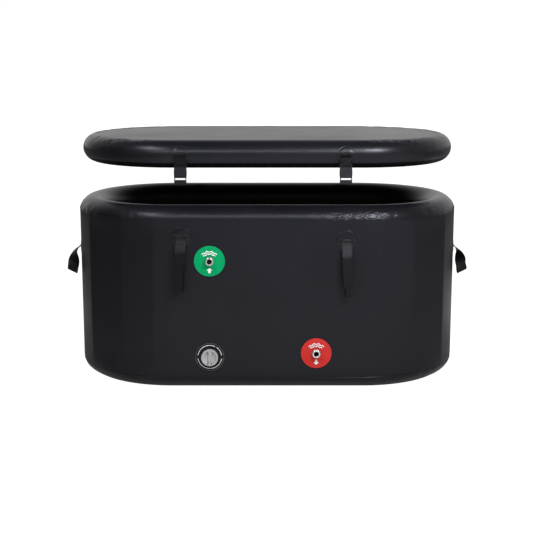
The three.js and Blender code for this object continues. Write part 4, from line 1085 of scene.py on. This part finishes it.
lid = {
    "length": 1460, "depth": 760, "endFlat": 10, "half": 52.5, "middle": 890.5, "band": 1.2, "gap": 0.3,
    "straightSteps": 70, "cornerSteps": 110, "crown": 1.2, "bandAngle": 86, "underAngle": -36,
}
lidWalk = planWalk(lid)
lidFolds = {
    "seed": 31, "count": 170, "width": (9, 20), "slant": 0.7, "level": 62, "levelSpread": 14, "tall": (10, 24),
    "deep": 1.5, "from": 6, "until": 88, "straight": 0.22,
}
lidCrinkles = [
    {**lidFolds, "seed": 37, "count": 34, "width": (7, 13), "tall": (6, 13), "deep": 1.6, "straight": 1.0, "stretch": (350, 640)},
    {**lidFolds, "seed": 41, "count": 34, "width": (7, 13), "tall": (6, 13), "deep": 1.6, "straight": 1.0, "stretch": (2940, 3240)},
]
tieDowns = [
    {"tag": "front_left", "side": "front", "along": -320}, {"tag": "front_right", "side": "front", "along": 290},
    {"tag": "back_right", "side": "back", "along": 320}, {"tag": "back_left", "side": "back", "along": -290},
]
tieDown = {"lean": 10, "offset": 5, "drop": 34, "knee": 12, "part": 11, "overlap": 14, "bar": 5, "male": 6}


def lidForm(section):
    offset, height, lean = section.T
    cosine, sine = np.cos(np.radians(lean)), np.sin(np.radians(lean))
    run = np.radians(lean) * lid["half"]
    folds = sum(puckers(lidWalk, run, look) for look in (lidFolds, *lidCrinkles))
    return sweep(lidWalk, offset + folds * cosine, height + folds * sine)


def buildLid():
    half = lid["half"] - lid["band"] - lid["gap"]
    edge = roundSection(half, -90, 90, 44, lid["middle"])
    rim = lidForm(edge)
    rings = padRings(lidWalk, edge[-1:, :2], lid["crown"], 18)[1:]
    flat = np.ones((len(lidWalk["run"]), 1))
    top = sweep(lidWalk, rings[:, 0] * flat, rings[:, 1])
    under = sweep(lidWalk, rings[::-1, 0] * flat, 2 * lid["middle"] - rings[::-1, 1])
    points = np.concatenate([under, rim, top], 1)
    pad = Shape().grid(points.transpose(1, 0, 2), False, True, ("start", "end")).piece("lidPad", "lidPvc")
    pocket = Shape().lathe([(0, -48), (31, -48), (31, 6), (0, 6)], 64, False).moved(lidFrame("back", airValve["lidAlong"]))
    cutAway(pad, [pocket.piece("lidValveRoom", "lidPvc")])
    settle(pad, "lid", "drop_stitch", "lid_panel")
    reach, seam = lid["bandAngle"], lid["underAngle"]
    band = Shape().grid(lidForm(bandSection(lid["half"], lid["band"], seam, reach, 36, lid["middle"])))
    # below the seam the lid's edge band gets the darker, duller finish: painted shade under the edge
    under = Shape().grid(lidForm(bandSection(lid["half"], lid["band"], -reach, seam - 2, 14, lid["middle"])))
    hole = Shape().lathe([(0, -20), (20.3, -20), (20.3, 6), (0, 6)], 64, False).moved(lidFrame("back", airValve["lidAlong"]))
    edgeBand = cutAway(band.piece("lidBand", "rimPvc"), [hole.piece("lidValveNeck", "rimPvc")])
    settle(edgeBand, "lid", "pvc_band", "lid_edge_band")
    settle(under.piece("lidUnderBandPaintedShade", "underPvc"), "lid", "pvc_band")
    seat = roundCorners([(20.3, -8), (35, -8), (35, 1.8), (20.3, 1.8)], 0.8, 3)
    back = lidFrame("back", airValve["lidAlong"])
    settle(Shape().lathe(seat, 80).moved(back).piece("lidValveSeat", "rimPvc"), "lid", "pvc_band")


# the round patch of a tie-down follows the lid's edge
def lidPatch(spot):
    shape = Shape()
    radius, thick = patch["lidRadius"], patch["thick"]
    levels = [(0.02, thick), (0.3, thick), (0.6, thick), (0.88, thick), (0.9, thick - 0.35), (0.925, thick - 0.35), (0.945, thick), (0.985, thick), (1.0, thick - 0.7), (1.0, -0.6)]
    angles = np.linspace(0, 2 * np.pi, 72, endpoint=False)
    points = np.zeros((len(levels), len(angles), 3))
    for i, (share, rise) in enumerate(levels):
        x, z = share * radius * np.cos(angles), share * radius * np.sin(angles)
        lean = np.arcsin(z / lid["half"])
        reach = lid["half"] + rise
        points[i, :, 0], points[i, :, 1], points[i, :, 2] = x, reach * np.cos(lean) - lid["half"], reach * np.sin(lean)
    shape.grid(points, False, True, ("start", "end"))
    return hoodShape(shape, -2.4).moved(spot)


def strapPath():
    half, bar = web["thick"] / 2, tieDown["male"] / 2
    wrap, layer = tub["gap"] + half, half + tub["gap"] / 2
    top, offset = -tieDown["drop"], tieDown["offset"]
    knee = [(0, 0), (offset / 2, -tieDown["knee"] / 2), (offset + layer, -tieDown["knee"]), (offset + layer, top + tieDown["part"])]
    down = [*knee, (offset + bar + wrap, top)]
    round1 = arcPoints(offset + bar, top - tieDown["bar"], wrap, 0, -90, 6)
    round2 = arcPoints(offset - bar, top - tieDown["bar"], wrap, -90, -180, 6)
    up = [(offset - bar - wrap, top), (offset - layer, top + tieDown["part"]), (offset - layer, top + tieDown["overlap"])]
    fine = roundCorners([*down, tuple(round1[0])], 5, 5, False)[:-1]
    rise = roundCorners([tuple(round2[-1]), *up], 5, 5, False)[1:]
    return np.concatenate([fine, round1, round2, rise])


def hangFrame(side, along):
    spot = lidFrame(side, along)
    return spot @ Matrix.Translation((0, web["pivotOut"], 0)) @ Matrix.Rotation(math.radians(tieDown["lean"]), 4, "X")


def buildTieDowns():
    for tie in tieDowns:
        tag, camel = tie["tag"], camelName(tie["tag"])
        camel = camel[0].upper() + camel[1:]
        settle(lidPatch(lidFrame(tie["side"], tie["along"])).piece("lidPatch" + camel, "rimPvc"), "lid", "pvc_band")
        strap = webStrip(Shape(), strapPath())
        rollRoot(strap, 0)
        strap.moved(hangFrame(tie["side"], tie["along"]))
        # the lid straps take the darker copy of the webbing: painted shade
        settle(strap.piece("lidStrap" + camel, "lidWebbing"), "strap_" + tag, "webbing", "lid_strap_" + tag)


# solids that stay as they are: edges rounded over, with their own finish
keptSolids = {
    "buckle_male": ("blackMoulding", 0.5), "buckle_female": ("blackMoulding", 0.45), "prong_a": ("blackMoulding", 0.4),
    "prong_b": ("blackMoulding", 0.4), "valve_body": ("blackMoulding", 0.5), "lid_valve_body": ("blackMoulding", 0.5),
    "valve_nut": ("blackMoulding", 0.6), "valve_stem": ("capGrey", 0.5), "lid_valve_stem": ("capGrey", 0.5),
    "inlet_lock_nut": ("stainless", 1.0), "outlet_lock_nut": ("stainless", 1.0),
}


def dressSolids():
    for node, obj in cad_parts.items():
        kind = next((k for k in keptSolids if node == k or node.startswith(k + "_")), None)
        if kind is None or obj.hide_render:
            continue
        finish, width = keptSolids[kind]
        obj.data.materials.clear()
        obj.data.materials.append(finishes[finish])
        obj.data.polygons.foreach_set("use_smooth", [True] * len(obj.data.polygons))
        weld = obj.modifiers.new("weld", "WELD")
        weld.merge_threshold = 1e-5
        bevel = obj.modifiers.new("roundOver", "BEVEL")
        bevel.width, bevel.segments, bevel.limit_method, bevel.angle_limit = width * mm, 3, "ANGLE", math.radians(28)
        shade = obj.modifiers.new("shade", "WEIGHTED_NORMAL")
        shade.keep_sharp = False


# studio: pale floor, bright wall behind, two soft boxes in front

studio = {
    "behind": 1.06, "ahead": 0.42, "above": 0.12, "sideDark": (-0.6, -0.95, 0.12), "floorGlow": 1.0, "floorBounce": 0.62,
    "floorLeft": (-2.0, -0.3, 0.05), "floorRight": (2.4, 0.4, 0.95), "floorNear": (0.36, 0.7, 0.3), "floorCorner": (3.3, 2.5, 0.15),
}
studioLights = {
    "softBoxLeft": {"azimuth": -40, "elevation": 44, "distance": 2.4, "size": (0.5, 0.5), "power": 13},
    "softBoxRight": {"azimuth": 28, "elevation": 36, "distance": 2.2, "size": (0.5, 0.4), "power": 25},
    "softStrip": {"azimuth": 0, "elevation": 36.5, "distance": 1.34, "size": (1.7, 0.1), "power": 4.4},
}

lidShade = bpy.data.collections.new("lidShade")  # keeps the small lights off the lid's flat top, which would burn out


def aimedLight(name, look):
    data = bpy.data.lights.new(name, "AREA")
    data.shape, data.energy = "RECTANGLE", look["power"]
    data.size, data.size_y = look["size"]
    light = bpy.data.objects.new(name, data)
    a, e = math.radians(look["azimuth"]), math.radians(look["elevation"])
    target = Vector((0, 0, 0.45))
    light.location = target + look["distance"] * Vector((math.sin(a) * math.cos(e), -math.cos(a) * math.cos(e), math.sin(e)))
    light.rotation_euler = (target - light.location).to_track_quat("-Z", "Y").to_euler()
    light.visible_camera = False
    light.light_linking.receiver_collection = lidShade
    bpy.context.scene.collection.objects.link(light)


# a share of the light that falls from one at the near place to its least at the far place
def lightShare(tree, value, far, near, least):
    node = addNode(tree, "MapRange", {"From Min": near, "From Max": far, "To Min": 1.0, "To Max": least})
    tree.links.new(value, node.inputs["Value"])
    return node.outputs[0]


def buildStudio():
    mesh = bpy.data.meshes.new("floor")
    mesh.from_pydata([(-60, -60, 0), (60, -60, 0), (60, 60, 0), (-60, 60, 0)], [], [(0, 1, 2, 3)])
    floor = bpy.data.objects.new("floor", mesh)
    floor.location.z = -0.0004
    bpy.context.scene.collection.objects.link(floor)
    material, tree, shader = emptyMaterial("paleFloor")
    shader.inputs["Base Color"].default_value = (0.35, 0.35, 0.35, 1)
    shader.inputs["Roughness"].default_value = 0.9
    shader.inputs["Specular IOR Level"].default_value = 0.1
    shader.inputs["Emission Color"].default_value = (1, 1, 1, 1)
    place = addNode(tree, "SeparateXYZ")
    wire(tree, (addNode(tree, "TexCoord").outputs["Object"], place.inputs[0]))
    # the floor glows: evenly white to the camera, and for everything else a glow that is dimmer to the left, toward the
    # far right corner and near the tub, where it is a painted contact shadow
    bounce = studio["floorBounce"]
    away = mathNode(tree, "ABSOLUTE", place.outputs["Y"])
    corner = mathNode(tree, "ADD", place.outputs["X"], place.outputs["Y"])
    places = {"floorLeft": place.outputs["X"], "floorRight": place.outputs["X"], "floorNear": away, "floorCorner": corner}
    for key, value in places.items():
        bounce = mathNode(tree, "MULTIPLY", lightShare(tree, value, *studio[key]), bounce)
    shown = addNode(tree, "Mix", {"B": studio["floorGlow"]}, data_type="FLOAT")
    wire(
        tree,
        (bounce, shown.inputs["A"]),
        (addNode(tree, "LightPath").outputs["Is Camera Ray"], shown.inputs["Factor"]),
        (shown.outputs[0], shader.inputs["Emission Strength"]),
    )
    mesh.materials.append(material)
    lidShade.objects.link(bpy.data.objects["lidPad"])
    lidShade.collection_objects[0].light_linking.link_state = "EXCLUDE"
    for name, look in studioLights.items():
        aimedLight(name, look)
    world = bpy.data.worlds.new("studioRoom")
    bpy.context.scene.world = world
    world.use_nodes = True
    room = world.node_tree
    room.nodes.clear()
    outlet = addNode(room, "OutputWorld")
    ray = addNode(room, "LightPath")
    towards = addNode(room, "SeparateXYZ")
    backdrop = addNode(room, "MapRange", {"From Min": -0.15, "From Max": 0.55, "To Min": studio["ahead"], "To Max": studio["behind"]})
    ceiling = addNode(room, "MapRange", {"From Min": 0.55, "From Max": 0.9, "To Min": 1.0, "To Max": studio["above"]})
    near, far, least = studio["sideDark"]
    side = lightShare(room, towards.outputs["X"], far, near, least)
    glow = addNode(room, "Background")
    seen = addNode(room, "Background", {"Color": (1, 1, 1, 1), "Strength": studio["floorGlow"]})
    mix = addNode(room, "MixShader")
    wire(
        room,
        (addNode(room, "TexCoord").outputs["Generated"], towards.inputs[0]),
        (towards.outputs["Y"], backdrop.inputs["Value"]),
        (towards.outputs["Z"], ceiling.inputs["Value"]),
        (mathNode(room, "MULTIPLY", mathNode(room, "MULTIPLY", backdrop.outputs[0], ceiling.outputs[0]), side), glow.inputs["Strength"]),
        (ray.outputs["Is Camera Ray"], mix.inputs[0]),
        (glow.outputs[0], mix.inputs[1]),
        (seen.outputs[0], mix.inputs[2]),
        (mix.outputs[0], outlet.inputs[0]),
    )
    bpy.context.scene.view_settings.view_transform = "Standard"


camera = {"spot": (0, -4.8437, 1.3355), "tilt": 78.5, "focalPixels": 1210, "frame": 533, "middle": (267.2, 278.1)}


def buildCamera():
    data = bpy.data.cameras.new("camera")
    data.sensor_width = 36
    data.lens = 36 * camera["focalPixels"] / camera["frame"]
    data.shift_x = (camera["frame"] / 2 - camera["middle"][0]) / camera["frame"]
    data.shift_y = (camera["middle"][1] - camera["frame"] / 2) / camera["frame"]
    view = bpy.data.objects.new("camera", data)
    view.location = camera["spot"]
    view.rotation_euler = (math.radians(camera["tilt"]), 0, 0)
    bpy.context.scene.collection.objects.link(view)
    bpy.context.scene.camera = view


buildCamera()
buildWall()
buildBands()
buildFloor()
print("tub chamber made")
for fittingName, fittingLook in fittings.items():
    buildFitting(fittingName, fittingLook)
buildValves()
print("fittings and valves made")
buildTubWebbing()
print("loops and handles made")
buildLid()
buildTieDowns()
print("lid made")
dressSolids()
buildStudio()
print("studio made")
